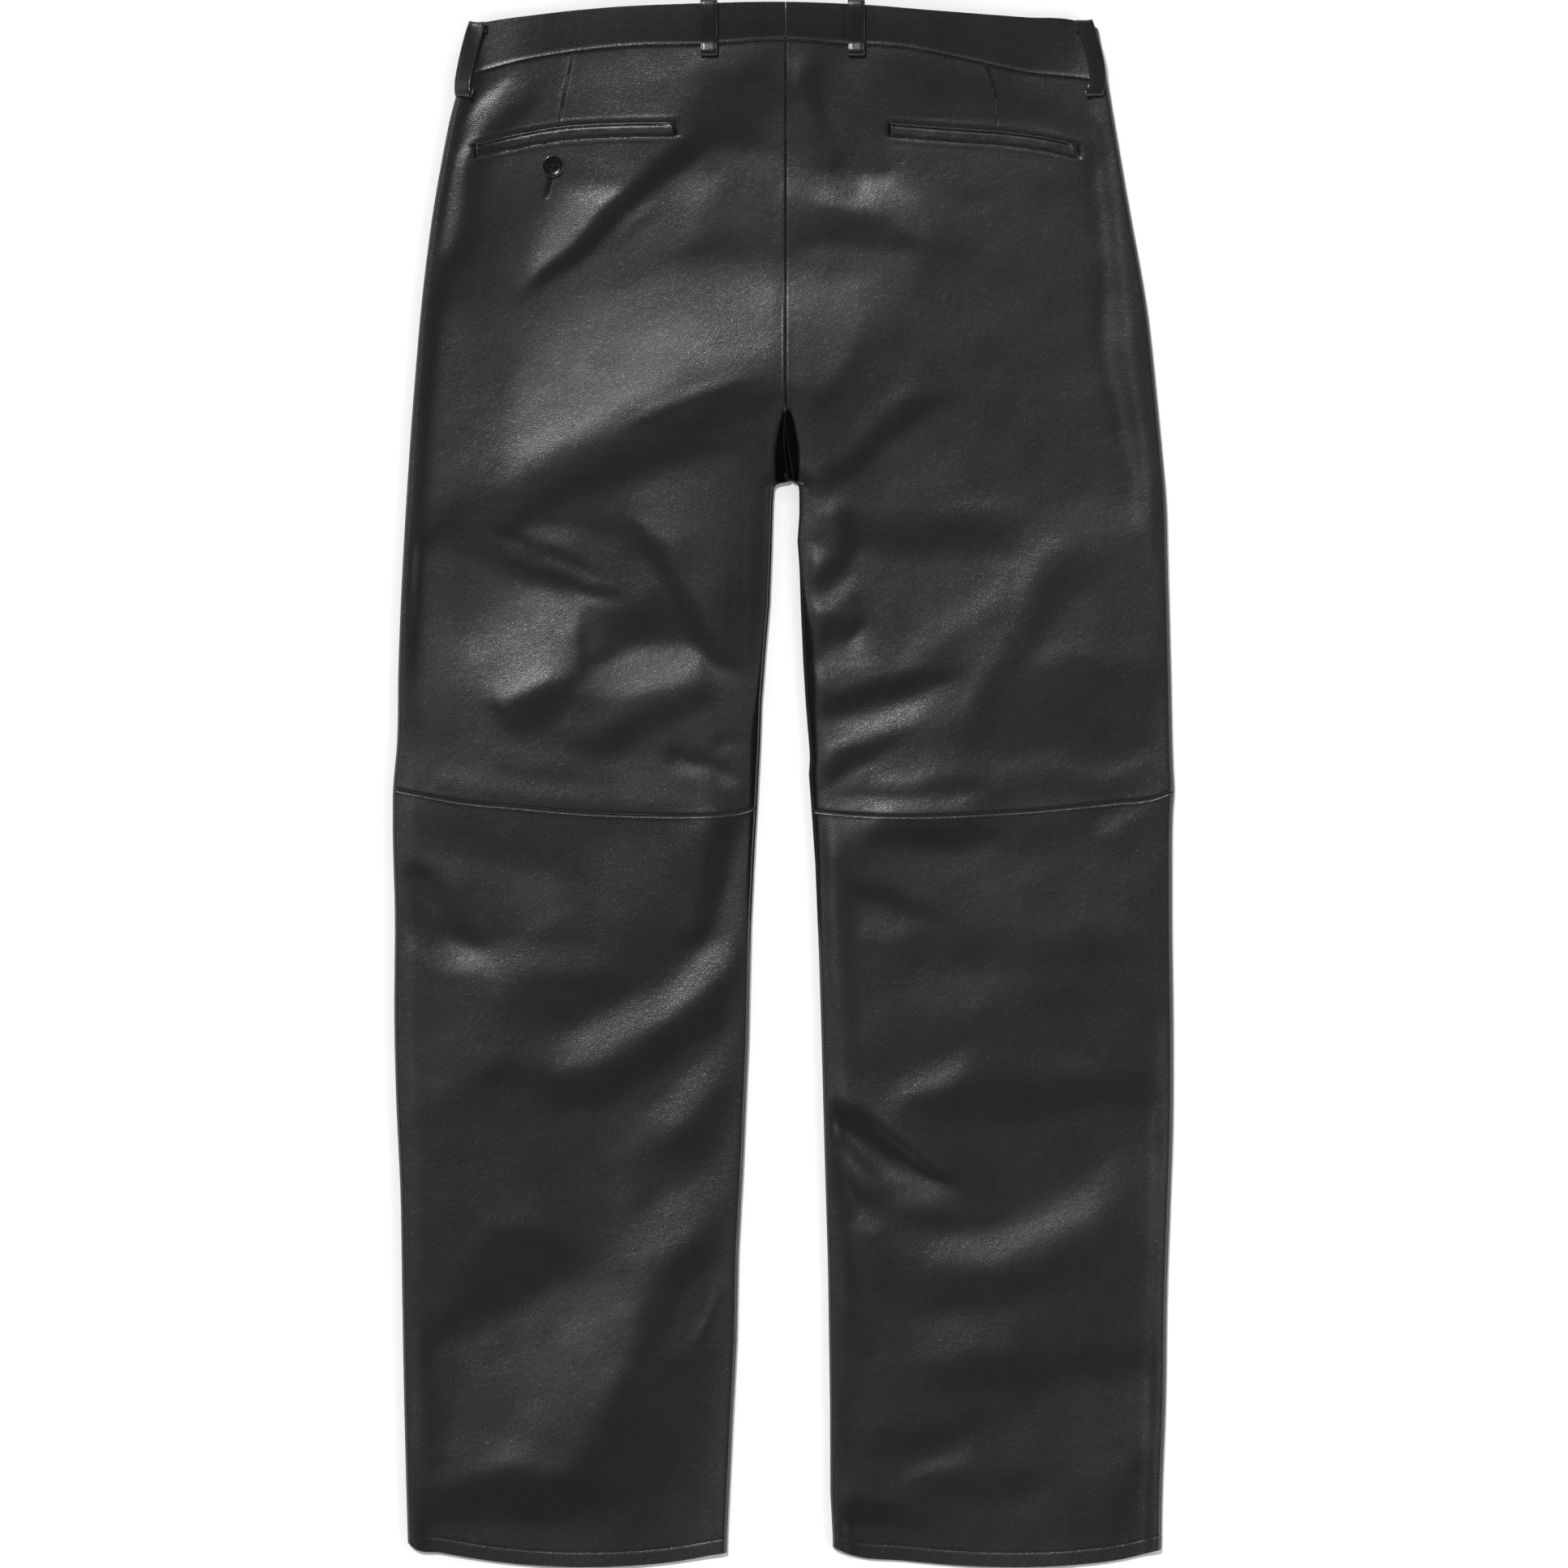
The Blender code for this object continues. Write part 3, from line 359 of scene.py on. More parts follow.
    (5.0, 290, 7, ((60, -450), (110, -448), (150, -444), (130, -456), (100, -468), (66, -474))),
    (3.6, 110, 5, ((78, -490), (104, -472), (130, -462), (134, -470), (110, -482), (84, -496))),
    (4.5, 290, 7, ((90, -490), (130, -482), (170, -484), (170, -500), (110, -502))),
    (0.9, 120, 8, ((120, -508), (200, -500), (210, -516), (130, -522))),
    (14.0, 300, 5, ((46, -494), (74, -504), (104, -514), (130, -534), (100, -530), (74, -522), (44, -520))),
    (5.4, 110, 3, ((40, -523), (54, -523), (64, -528), (44, -531))),
    (5.0, 330, 7, ((254, -462), (262, -466), (250, -500), (232, -516), (230, -504), (246, -484))),
)

# Creases. A line is written from left to right, or upwards where it is steep, and over and under are the
# widths of the slopes above (or left of) it and below (or right of) it. A fold grows in and dies out over
# the given shares of its length. A negative rise is a trough.
Fold = namedtuple("Fold", "rise over under grow die line")
FOLDS = table(Fold,
    # left hip, along its edge
    (0.6, 6, 8, 0.4, 0.3, ((-252, 290), (-245, 340), (-238, 385), (-229, 428), (-215, 458), (-198, 480))),
    # left seat
    (0.8, 5, 8, 0.4, 0.4, ((-238, 436), (-231, 452), (-218, 468), (-196, 488), (-182, 504))),
    (0.3, 8, 5, 0.4, 0.4, ((-222, 440), (-206, 464), (-182, 485))),
    (0.4, 5, 4, 0.3, 0.3, ((-118, 246), (-95, 259), (-68, 270), (-40, 280), (-8, 287))),
    (0.3, 4, 5, 0.3, 0.3, ((-136, 372), (-110, 392), (-80, 413))),
    # left thigh
    (-0.4, 4, 6, 0.3, 0.3, ((-216, 183), (-180, 168), (-150, 156), (-112, 137))),
    (-0.9, 7, 6, 0.2, 0.3, ((-82, 28), (-72, 16), (-54, 13), (-40, 6), (-24, 2))),
    (-0.4, 5, 5, 0.3, 0.3, ((-54, 20), (-40, 29), (-18, 28))),
    # left shin
    (0.5, 3, 3, 0.3, 0.3, ((-68, -401), (-54, -378), (-44, -354), (-38, -349))),
    # right seat
    (0.9, 8, 4, 0.4, 0.4, ((214, 478), (225, 462), (234, 444), (238, 432))),
    # right thigh
    (-0.8, 4, 4, 0.3, 0.3, ((40, 100), (52, 108), (56, 118))),
    # right shin
    (-1.0, 4, 4, 0.2, 0.4, ((36, -226), (56, -234), (76, -253), (99, -271), (118, -282))),
    (0.6, 4, 4, 0.4, 0.4, ((262, -258), (266, -238), (270, -218))),
)

# Patterns of soft noise: the size of their features, how far they reach, and the seed.
Pattern = namedtuple("Pattern", "size reach seed")
UNEVEN = table(Pattern, (60.0, 0.24, 3), (25.0, 0.13, 5), (10.0, 0.04, 8))  # in height, all over
WANDER = table(Pattern, (42.0, 5.0, 11), (17.0, 2.4, 13))  # of the outlines of the stretches

# How far the painted shade along each inseam reaches inwards, at y.
Shade = namedtuple("Shade", "y left right")
SHADED = table(Shade,
    (200, 2.5, 3.0), (160, 2.5, 1.5), (130, 3.0, 5.0), (100, 3.5, 11.0), (60, 6.0, 10.0), (35, 9.0, 8.0),
    (0, 8.0, 7.0), (-40, 6.0, 5.0), (-112, 3.0, 3.0),
)

# Narrow marks of the needle and the knife in the back thighs: darts, pocket mouths, and a buttonhole.
DARTS = {
    "left": [(-157.0, 463.5), (-154.5, 480.0), (-151.0, 496.0), (-147.3, 513.0)],
    "right": [(149.0, 461.0), (150.2, 473.0), (146.4, 494.0), (141.3, 506.5)],
}
WELTS = {
    "left": table(Across,
        (-217, 444.8), (-187, 452.0), (-157, 457.2), (-112, 459.8), (-76, 460.3),
    ),
    "right": table(Across,
        (74, 459.8), (118, 456.4), (162, 453.0), (190, 448.6), (207, 444.4),
    ),
}
BUTTONHOLE = [(-167.4, 412.0), (-165.2, 418.5), (-163.4, 427.0)]

# A belt loop's middle line from its upper end to its lower one, at y. Lift is how far it stands over the
# surface below, tilt turns its outer edge down in degrees, and slide moves it outwards along its width.
Strap = namedtuple("Strap", "y lift tilt slide")
BACK_LOOP = table(Strap,
    (542.0, 0.9, 0, 0), (547.8, 1.0, 0, 0), (550.0, 2.4, 0, 0), (548.2, 3.8, 0, 0), (538.0, 4.0, 0, 0),
    (526.0, 3.5, 0, 0), (519.8, 3.7, 0, 0), (515.4, 4.4, 0, 0), (512.7, 3.9, 0, 0), (511.9, 2.5, 0, 0),
    (513.2, 1.0, 0, 0), (517.5, 0.9, 0, 0),
)
SIDE_LOOPS = {  # slide 0 is over the middle of the fold at the side
    "left": table(Strap,
        (528.0, 1.4, 8, -1.5), (532.5, 1.5, 8, -0.8), (534.4, 2.8, 9, -0.4), (532.4, 4.1, 12, -0.3),
        (520.0, 3.9, 18, 0.2), (506.0, 3.0, 22, 0.2), (494.0, 2.6, 24, -1), (487.0, 3.2, 25, -3.4),
        (483.6, 2.1, 25, -4.6), (486.0, 0.9, 25, -4.8), (490.0, 0.8, 25, -4.6),
    ),
    "right": table(Strap,
        (529.0, 1.4, 4, -6.6), (533.6, 1.5, 4, -6.6), (535.8, 3.0, 6, -6.6), (533.4, 4.3, 8, -6.4),
        (520.0, 4.2, 9, -5), (505.0, 3.9, 9, -4), (492.0, 3.6, 9, -5.6), (486.5, 3.4, 9, -8),
        (484.0, 2.3, 8, -8.6), (486.5, 1.2, 8, -8.8), (490.5, 1.1, 8, -8.6),
    ),
}


def smooth(keys, values, at):
    """Cubic through the rows of a table, level with its neighbours, and straight past its ends."""
    order = np.argsort(keys)
    keys, values = np.asarray(keys, float)[order], np.asarray(values, float)[order]
    slope = np.gradient(values, keys)
    at = np.asarray(at, float)
    i = np.clip(np.searchsorted(keys, at) - 1, 0, len(keys) - 2)
    span = keys[i + 1] - keys[i]
    t = np.clip((at - keys[i]) / span, 0, 1)
    start = (1 + 2 * t) * (1 - t) ** 2 * values[i] + t * (1 - t) ** 2 * span * slope[i]
    end = t * t * (3 - 2 * t) * values[i + 1] + t * t * (t - 1) * span * slope[i + 1]
    beyond = (at - np.clip(at, keys[0], keys[-1])) * np.where(at < keys[0], slope[0], slope[-1])
    return start + end + beyond


def across(rows, x):
    """Y at x on an edge or seam that runs across the trousers."""
    return smooth([row.x for row in rows], [row.y for row in rows], x)


def edge(rows, y):
    """X at y on a leg's edge."""
    return smooth([row.y for row in rows], [row.x for row in rows], y)


def ramp(value, low, high):
    """0 at low, 1 at high, eased at both."""
    t = np.clip((np.asarray(value, float) - low) / (high - low), 0, 1)
    return t * t * (3 - 2 * t)


def bell(distance, width):
    return np.exp(-((distance / width) ** 2))


def through(points, step=5.0):
    """A smooth curve through points, as points about a step apart."""
    rows = np.asarray(points, float)
    rows = np.vstack([2 * rows[0] - rows[1], rows, 2 * rows[-1] - rows[-2]])
    curve = []
    for a, b, c, d in zip(rows, rows[1:], rows[2:], rows[3:]):
        count = max(2, int(np.linalg.norm(c - b) / step))
        t = np.linspace(0, 1, count, endpoint=False)[:, None]
        bend = (2 * a - 5 * b + 4 * c - d) * t**2 + (3 * b - a - 3 * c + d) * t**3
        curve.append(0.5 * (2 * b + (c - a) * t + bend))
    return np.vstack(curve + [rows[-2][None, :]])


def nearest_on(line, x, y):
    """Distance from a line, how far along it the nearest place is, and its side: positive is left of it."""
    best = np.full(x.shape, 1e9)
    side, along = np.zeros(x.shape), np.zeros(x.shape)
    run = 0.0
    for a, b in zip(line, line[1:]):
        dx, dy = b - a
        length = np.hypot(dx, dy)
        t = np.clip(((x - a[0]) * dx + (y - a[1]) * dy) / length**2, 0, 1)
        off_x, off_y = x - a[0] - t * dx, y - a[1] - t * dy
        off = np.hypot(off_x, off_y)
        closer = off < best
        best = np.where(closer, off, best)
        side = np.where(closer, dx * off_y - dy * off_x, side)
        along = np.where(closer, run + t * length, along)
        run += length
    return best, along / run, side


def add_fold(z, x, y, fold):
    """Adds one fold to heights z: leaf shaped, with a different slope on each side."""
    line = through(fold.line)
    reach = 2.6 * max(fold.over, fold.under)
    low, high = line.min(axis=0) - reach, line.max(axis=0) + reach
    near = (x > low[0]) & (x < high[0]) & (y > low[1]) & (y < high[1])
    off, along, side = nearest_on(line, x[near], y[near])
    ends = ramp(along, 0, max(fold.grow, 0.01)) * ramp(1 - along, 0, max(fold.die, 0.01))
    width = np.where(side > 0, fold.over, fold.under) * (0.45 + 0.55 * ends)
    z[near] += fold.rise * ends * bell(off, width)


def within(x, y, outline, soft):
    """1 inside an outline and 0 outside it, eased over a soft margin."""
    closed = np.array([*outline, outline[0]], float)
    off = nearest_on(closed, x, y)[0]
    inside = np.zeros(x.shape, bool)
    for (ax, ay), (bx, by) in zip(closed, closed[1:]):
        if ay != by:
            inside ^= ((ay > y) != (by > y)) & (x < ax + (bx - ax) * (y - ay) / (by - ay))
    return ramp(np.where(inside, off, -off), -soft, soft)


def settle(slope_x, slope_y, firm):
    """The heights whose slopes come closest to the given ones, above all where firm is 1."""
    ky = 2 * pi * np.fft.fftfreq(slope_x.shape[0], MAP_STEP)[:, None]
    kx = 2 * pi * np.fft.rfftfreq(slope_x.shape[1], MAP_STEP)[None, :]
    size = kx**2 + ky**2 + (1 / REACH) ** 2
    near_x, near_y = slope_x, slope_y
    for _ in range(ROUNDS):
        height = -1j * (kx * np.fft.rfft2(near_x) + ky * np.fft.rfft2(near_y)) / size
        near_x = firm * slope_x + (1 - firm) * np.fft.irfft2(1j * kx * height, slope_x.shape)
        near_y = firm * slope_y + (1 - firm) * np.fft.irfft2(1j * ky * height, slope_x.shape)
    return np.fft.irfft2(height, slope_x.shape)


def soft_noise(x, y, size, seed):
    """Smooth noise from -1 to 1, with features of about that size in millimetres."""
    lattice = np.random.default_rng(seed).uniform(-1, 1, (64, 64))
    u, v = (x + TABLE_REACH) / size, (y + TABLE_REACH) / size
    i, j = np.floor(u).astype(int), np.floor(v).astype(int)
    fu, fv = ramp(u - i, 0, 1), ramp(v - j, 0, 1)
    corner = [lattice[(i + di) % 64, (j + dj) % 64] for di in (0, 1) for dj in (0, 1)]
    low = corner[0] * (1 - fv) + corner[1] * fv
    high = corner[2] * (1 - fv) + corner[3] * fv
    return low * (1 - fu) + high * fu


def inseam_gap(rows, x, y):
    """Distance from an inseam, and above it from its upper end."""
    return np.hypot(x - edge(rows, np.minimum(y, CROTCH - 6)), np.maximum(y - CROTCH + 6, 0))


def side_edge(x, y):
    """Distance from the nearest folded edge of the leg or hip."""
    gaps = [abs(x - edge(rows, y)) for rows in (LEFT_OUTER, RIGHT_OUTER)]
    gaps += [inseam_gap(rows, x, y) for rows in (LEFT_INSEAM, RIGHT_INSEAM)]
    return np.minimum.reduce(gaps)


def make_relief():
    """The relief of the backs on a map: facets settled into one surface, then folds and unevenness."""
    y, x = np.meshgrid(MAP_Y, MAP_X, indexing="ij")
    astray = 2 * max(pattern.reach for pattern in WANDER)
    near_x = x + sum(reach * soft_noise(x, y, size, seed) for size, reach, seed in WANDER)
    near_y = y + sum(reach * soft_noise(y, x, size, seed + 1) for size, reach, seed in WANDER)
    slope_x, slope_y, firm = np.zeros(x.shape), np.zeros(x.shape), np.full(x.shape, LOOSE)
    for facet in FACETS:
        margin = facet.soft + astray
        low, high = np.min(facet.outline, axis=0) - margin, np.max(facet.outline, axis=0) + margin
        i = slice(*np.searchsorted(MAP_Y, (low[1], high[1])))
        j = slice(*np.searchsorted(MAP_X, (low[0], high[0])))
        share = within(near_x[i, j], near_y[i, j], facet.outline, facet.soft)
        slope = np.tan(radians(facet.tilt))
        slope_x[i, j] += share * (-slope * cos(radians(facet.faces)) - slope_x[i, j])
        slope_y[i, j] += share * (-slope * sin(radians(facet.faces)) - slope_y[i, j])
        firm[i, j] += share * (1 - firm[i, j])
    relief = settle(slope_x, slope_y, firm)
    for fold in FOLDS:
        add_fold(relief, x, y, fold)
    for size, reach, seed in UNEVEN:
        relief += reach * soft_noise(x + 0.4 * y, y - 0.3 * x, size, seed)
    cells = np.arange(-BLUR_CELLS, BLUR_CELLS + 1)
    spread = bell(cells * MAP_STEP, MAP_BLUR)
    for axis in (0, 1):
        relief = sum(share * np.roll(relief, k, axis) for k, share in zip(cells, spread)) / spread.sum()
    return relief


def crotch_hollow(x, y):
    """1 in the rounded wedge where the seat turns down to the crotch, and 0 outside it."""
    half = HOLLOW_HALF * np.sqrt(np.clip((CROTCH + HOLLOW_TOP - y) / 30, 0, 1))
    off = x - CENTRE - HOLLOW_SHIFT
    return (1 - ramp(np.abs(off), 0.75 * half, half + np.where(off < 0, 2.0, 0.6))) * ramp(half, 0.0, 3.0)


def lay(x, y):
    """Height of the backs' outer surface over the table."""
    x, y = np.broadcast_arrays(np.asarray(x, float), np.asarray(y, float))
    inside = np.maximum(side_edge(x, y) - SIDE_FOLD, 0)
    u, v = (x - MAP_X[0]) / MAP_STEP, (y - MAP_Y[0]) / MAP_STEP
    i, j = np.clip(v.astype(int), 0, len(MAP_Y) - 2), np.clip(u.astype(int), 0, len(MAP_X) - 2)
    v, u = v - i, u - j
    body = (1 - v) * ((1 - u) * RELIEF[i, j] + u * RELIEF[i, j + 1])
    body += v * ((1 - u) * RELIEF[i + 1, j] + u * RELIEF[i + 1, j + 1])
    gap = np.maximum(inseam_gap(LEFT_INSEAM, x, y) - SIDE_FOLD, 0)
    calm = 1 - CALM * bell(gap, CALM_REACH) * (x < CENTRE)
    z = LAID + (2 * SIDE_FOLD - LAID) * bell(inside, ALLOWANCE) + body * (1 - bell(inside, EDGE_REACH)) * calm
    over = (z - HOLLOW_DEPTH * crotch_hollow(x, y) - LOWEST) * BOTTOMING
    return LOWEST + np.where(over > 8, over, np.log1p(np.exp(np.minimum(over, 8)))) / BOTTOMING


RELIEF = make_relief()


def back_band(x, y):
    """Height of the waistband's outer surface: it stands over the backs and climbs to its upper edge."""
    seam = across(BACK_WAIST_SEAM, x)
    up = np.clip((y - seam) / (across(BACK_TOP, x) - seam), 0, 1)
    climb = across(BAND_CLIMB, x) * (up - 0.25 * up**2)
    return lay(x, seam) + BAND_PROUD + climb


def table_top(x, y):
    return np.zeros(np.broadcast(x, y).shape)


def knee(x):
    return across(KNEE_SEAM, x)


def waist(x):
    return across(BACK_WAIST_SEAM, x)


def hem(x):
    return across(HEM, x)


# Marks of sewing: how far each point of a panel sinks or rises beside a seam, in millimetres.
# Where a point sinks deep enough, its colour is also painted darker there, as shade.

def beside(distance, drop, drop_width, lip, lip_at, lip_width):
    """The surface sinks into a seam, with a soft lip next to it."""
    return lip * bell(distance - lip_at, lip_width) - drop * bell(distance, drop_width)


def centre_marks(side, x, y):
    """The seat seam: low down its allowances lift the left side."""
    off = np.abs(x - CENTRE)
    if side < 0:
        lifted = 0.16 * (1 - ramp(y, 320, 345))
        seam = beside(off, drop=0.7, drop_width=0.5, lip=lifted, lip_at=1.6, lip_width=0.8)
    else:
        seam = beside(off, drop=0.6, drop_width=0.9, lip=0.02, lip_at=2.4, lip_width=1.1)
    return seam * ramp(y, CROTCH + 30, CROTCH + 70) - 0.2 * crotch_hollow(x, y)


def gathers(leg, x, y):
    """Small upright wrinkles where the knee seam takes up the right leg's inner side."""
    if leg.name == "left":
        return 0.0
    wave = np.sin(1.45 * x + 0.5 * np.sin(0.4 * x)) * bell(x - 56, 17)
    wave += 0.5 * np.sin(1.1 * x) * bell(x - 100, 30)
    return 0.10 * wave * bell(y - knee(x) + 3, 8.0)


def pocket_marks(name, x, y):
    """Dart, pocket mouth and buttonhole of one back thigh."""
    # The dents of the dart, pocket mouth and buttonhole are also painted dark as shade, through the groove
    # attribute.
    off, along, side = nearest_on(through(DARTS[name]), x, y)
    marks = ramp(along, 0.0, 0.15) * (0.14 * bell(off - 1.6, 1.0) * (side > 0) - 0.6 * bell(off, 0.5))
    rows = WELTS[name]
    low, high = rows[0].x, rows[-1].x
    up = y - across(rows, x)
    mouth = ramp(-abs(up), -5.5, -4.9) * ramp(x, low - 1, low) * ramp(-x, -high - 1, -high)
    swell = ramp(x, low - 5, low + 2) * ramp(-x, -high - 5, -high + 2)
    marks += swell * (0.12 * bell(up - 8.0, 1.6) + 0.10 * bell(up + 7.6, 1.5)) - WELT_SUNK * mouth
    if name == "left":
        off, along, side = nearest_on(through(BUTTONHOLE), x, y)
        marks -= 0.9 * bell(off, 1.1) * ramp(along, 0.0, 0.1)
    return marks


def thigh_marks(leg, x, y):
    """The thigh's edge swells under the waistband and dips into the knee seam."""
    marks = 0.35 * bell(waist(x) - y, 1.0)
    marks += beside(y - knee(x), drop=0.8, drop_width=0.8, lip=0.03, lip_at=2.8, lip_width=1.2)
    marks += gathers(leg, x, y)
    return marks + centre_marks(leg.side, x, y) + pocket_marks(leg.name, x, y)


def shin_marks(leg, x, y):
    """A lip under the knee seam, and the turned-up hem with the dent of its stitching."""
    scallops = 0.14 * (1 + 0.5 * np.sin(x * 2.4) * np.sin(x * 0.31))
    marks = beside(knee(x) - y, drop=0.6, drop_width=0.7, lip=scallops, lip_at=1.5, lip_width=0.9)
    under = HEM_STITCH - (y - hem(x))
    return marks + gathers(leg, x, y) + 0.08 * ramp(under, -0.5, 2.5) - 0.12 * bell(under, 0.45)


def band_marks(leg, x, y):
    """The band's lower edge is a soft roll, and its halves meet in a dent at the centre back."""
    return 0.3 * bell(y - waist(x) - 0.3, 1.2) - 0.6 * bell(x - CENTRE, 0.5)


class Leg:
    """One side of the trousers: its edges, and which way is outwards."""

    def __init__(self, name):
        self.name = name
        self.side = -1 if name == "left" else 1
        self.outer_rows = LEFT_OUTER if name == "left" else RIGHT_OUTER
        self.inseam_rows = LEFT_INSEAM if name == "left" else RIGHT_INSEAM

    def outer(self, y):
        return edge(self.outer_rows, y)

    def inner(self, y):
        centre = CENTRE + CROTCH_SHIFT * (1 - ramp(y, CROTCH, CROTCH + 30)) + self.side * SEAM / 2
        return np.where(y >= CROTCH, centre, self.inseam(np.minimum(y, CROTCH)))

    def inseam(self, y):
        rows = [Edge(CROTCH, CENTRE + CROTCH_SHIFT + self.side * SEAM / 2)] + self.inseam_rows
        return np.interp(-y, [-row.y for row in rows], [row.x for row in rows])

    def from_inner(self, x, y):
        """Distance from the inner edge, over the panel."""
        return self.side * (x - self.inner(y))


LEGS = (Leg("left"), Leg("right"))


def turned_back(y):
    """The backs roll down into the groove over the crotch, and the inseam is a full fold."""
    return 1 - ramp(y, CROTCH, CROTCH + BACK_TURN)


def turned_front(y):
    return 1 - ramp(y, CROTCH, CROTCH + FRONT_TURN)


def never(y):
    return np.zeros(np.shape(y))


COARSER = 0.3  # steps grow by that share of the distance from a stretch where they lie closer


def graded(length, step, closer=()):
    """Shares of a length from 0 to 1, a step apart, and less near each stretch where they lie closer."""
    places = [0.0]
    while places[-1] < length:
        at = places[-1]
        gaps = [fine + COARSER * max(low - at, at - high, 0) for low, high, fine in closer]
        places.append(at + min(gaps + [step]))
    return np.array(places) / places[-1]


# groove holds how dark each point's colour is painted as shade: its sewing dent, and any painted shade added
# to it.
Sheet = namedtuple("Sheet", "outer inner groove")


def sheet_points(leg, top, bottom, skin, up, wall, turned, rows, mids, marks=None):
    """Outer and inner points of a panel: rows from top to bottom, columns from outseam to inner edge.

    up is 1 for a back and -1 for a front, whose outer surface faces down. marks gives the dents of sewing on
    the outer surface.
    """
    count = len(ROLL_STEPS)
    kind = np.repeat([0, 1, 2], [count, len(mids), count])
    value = np.concatenate([ROLL_STEPS, mids, ROLL_STEPS[::-1]])
    v = np.asarray(rows)[:, None]
    x = np.full((len(rows), len(value)), leg.side * MID_LEG)
    for _ in range(7):  # X and Y depend on each other, and a few rounds find both
        y = (1 - v) * top(x) + v * bottom(x)
        inner_fold = np.maximum(turned(y) * SIDE_FOLD, INNER_STRIP)
        low, high = leg.outer(y), leg.inner(y)
        shoulder_out, shoulder_in = low - leg.side * SIDE_FOLD, high + leg.side * inner_fold
        over_out = low - leg.side * SIDE_FOLD * (1 - np.cos(value))
        over_in = high + leg.side * inner_fold * (1 - np.cos(value))
        between = shoulder_out + (shoulder_in - shoulder_out) * value
        x = np.where(kind == 0, over_out, np.where(kind == 2, over_in, between))
    y = (1 - v) * top(x) + v * bottom(x)
    full = np.where(kind == 0, 1.0, np.where(kind == 2, turned(y), 0.0))
    shoulder = skin(np.where(kind == 0, shoulder_out, np.where(kind == 2, shoulder_in, x)), y)
    ledge = shoulder + full * (SIDE_FOLD + up * SEAM / 2 - shoulder)
    turn = np.where(kind == 1, pi / 2, value)
    z = ledge + (shoulder - ledge) * np.sin(turn)
    push_x = np.where(kind == 0, -leg.side, leg.side) * full * np.cos(turn)
    push_z = -up * (1 - full + full * np.sin(turn))
    size = np.hypot(push_x, push_z)
    x_in = x + wall * push_x / size
    y_in = (1 - v) * top(x_in) + v * bottom(x_in)
    inner = np.dstack([x_in, y_in, z + wall * push_z / size])
    dents = np.zeros(x.shape)
    if marks is not None:
        dents = marks(leg, x, y) * np.where(kind == 1, 1.0, np.sin(turn) ** 2)
    return Sheet(np.dstack([x, y, z + dents]), inner, dents)


def linked(name, data):
    """A new object in the scene."""
    thing = bpy.data.objects.new(name, data)
    bpy.context.collection.objects.link(thing)
    return thing


def solid(name, verts, faces, materials, looks=None, sharp=50):
    """A closed object from points in millimetres, its faces turned outwards. looks picks their materials."""
    mesh = bpy.data.meshes.new(name)
    mesh.from_pydata((np.asarray(verts, float) * MM).tolist(), [], faces)
    for material in materials:
        mesh.materials.append(material)
    if looks is not None:
        mesh.polygons.foreach_set("material_index", np.asarray(looks, np.int32))
    bm = bmesh.new()
    bm.from_mesh(mesh)
    bmesh.ops.recalc_face_normals(bm, faces=bm.faces)
    bm.to_mesh(mesh)
    bm.free()
    mesh.shade_smooth()
    mesh.set_sharp_from_angle(angle=radians(sharp))
    return linked(name, mesh)


def quads(rows, columns, start=0):
    """Faces of a grid of points."""
    i, j = np.meshgrid(np.arange(rows - 1), np.arange(columns - 1), indexing="ij")
    a = (start + i * columns + j).ravel()
    return np.stack([a, a + 1, a + columns + 1, a + columns], axis=1)


def walled(name, sheet, materials, sharp=50):
    """A wall between two grids of points, closed round its rim. The last material is the inner face's."""
    rows, columns = sheet.outer.shape[:2]
    far = rows * columns
    front, back = quads(rows, columns), quads(rows, columns, far)[:, ::-1]
    rim = np.concatenate([
        np.arange(columns),
        np.arange(1, rows) * columns + columns - 1,
        (rows - 1) * columns + np.arange(columns - 2, -1, -1),
        np.arange(rows - 2, 0, -1) * columns,
    ])
    after = np.roll(rim, -1)
    sides = np.stack([after, rim, far + rim, far + after], axis=1)
    looks = np.repeat([0, len(materials) - 1, 0], [len(front), len(back), len(sides)])
    verts = np.concatenate([sheet.outer.reshape(-1, 3), sheet.inner.reshape(-1, 3)])
    thing = solid(name, verts, np.concatenate([front, back, sides]).tolist(), materials, looks, sharp)
    # Painted shade: each point's dent, and any shade added to it, darkens its colour through the groove
    # attribute.
    depth = np.append(-sheet.groove.ravel(), np.zeros(far))
    layer = thing.data.attributes.new("groove", "FLOAT", "POINT")
    layer.data.foreach_set("value", ramp(depth, *PAINTED_SHADE_DEPTHS).astype(np.float32))
    return thing


def crown(thing):
    """Stores how far each point stands over its surroundings, for the lighter colour on the crowns of folds.
    """
    mesh = thing.data
    co, up = np.empty(len(mesh.vertices) * 3), np.empty(len(mesh.vertices) * 3)
    mesh.vertices.foreach_get("co", co)
    mesh.vertices.foreach_get("normal", up)
    co = co.reshape(-1, 3) / MM
    top = up.reshape(-1, 3)[:, 2] > 0.3
    cell = np.floor((co[:, :2] + TABLE_REACH) / CROWN_CELL).astype(int)
    cells = int(2 * TABLE_REACH / CROWN_CELL)
    count, total = np.zeros((cells, cells)), np.zeros((cells, cells))
    np.add.at(count, (cell[top, 0], cell[top, 1]), 1)
    np.add.at(total, (cell[top, 0], cell[top, 1]), co[top, 2])
    shifts = [(i, j) for i in (-1, 0, 1) for j in (-1, 0, 1)]
    count = sum(np.roll(count, shift, (0, 1)) for shift in shifts)
    total = sum(np.roll(total, shift, (0, 1)) for shift in shifts)
    around = (total / np.maximum(count, 1))[cell[:, 0], cell[:, 1]]
    layer = mesh.attributes.new("crown", "FLOAT", "POINT")
    layer.data.foreach_set("value", np.where(top, np.clip(co[:, 2] - around, -1, 1), 0).astype(np.float32))


def place(thing, node, slot):
    """A finished piece takes its node's place and moves with the trousers; slot is not used."""
    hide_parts(node)
    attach(thing, "root")


# The panels.

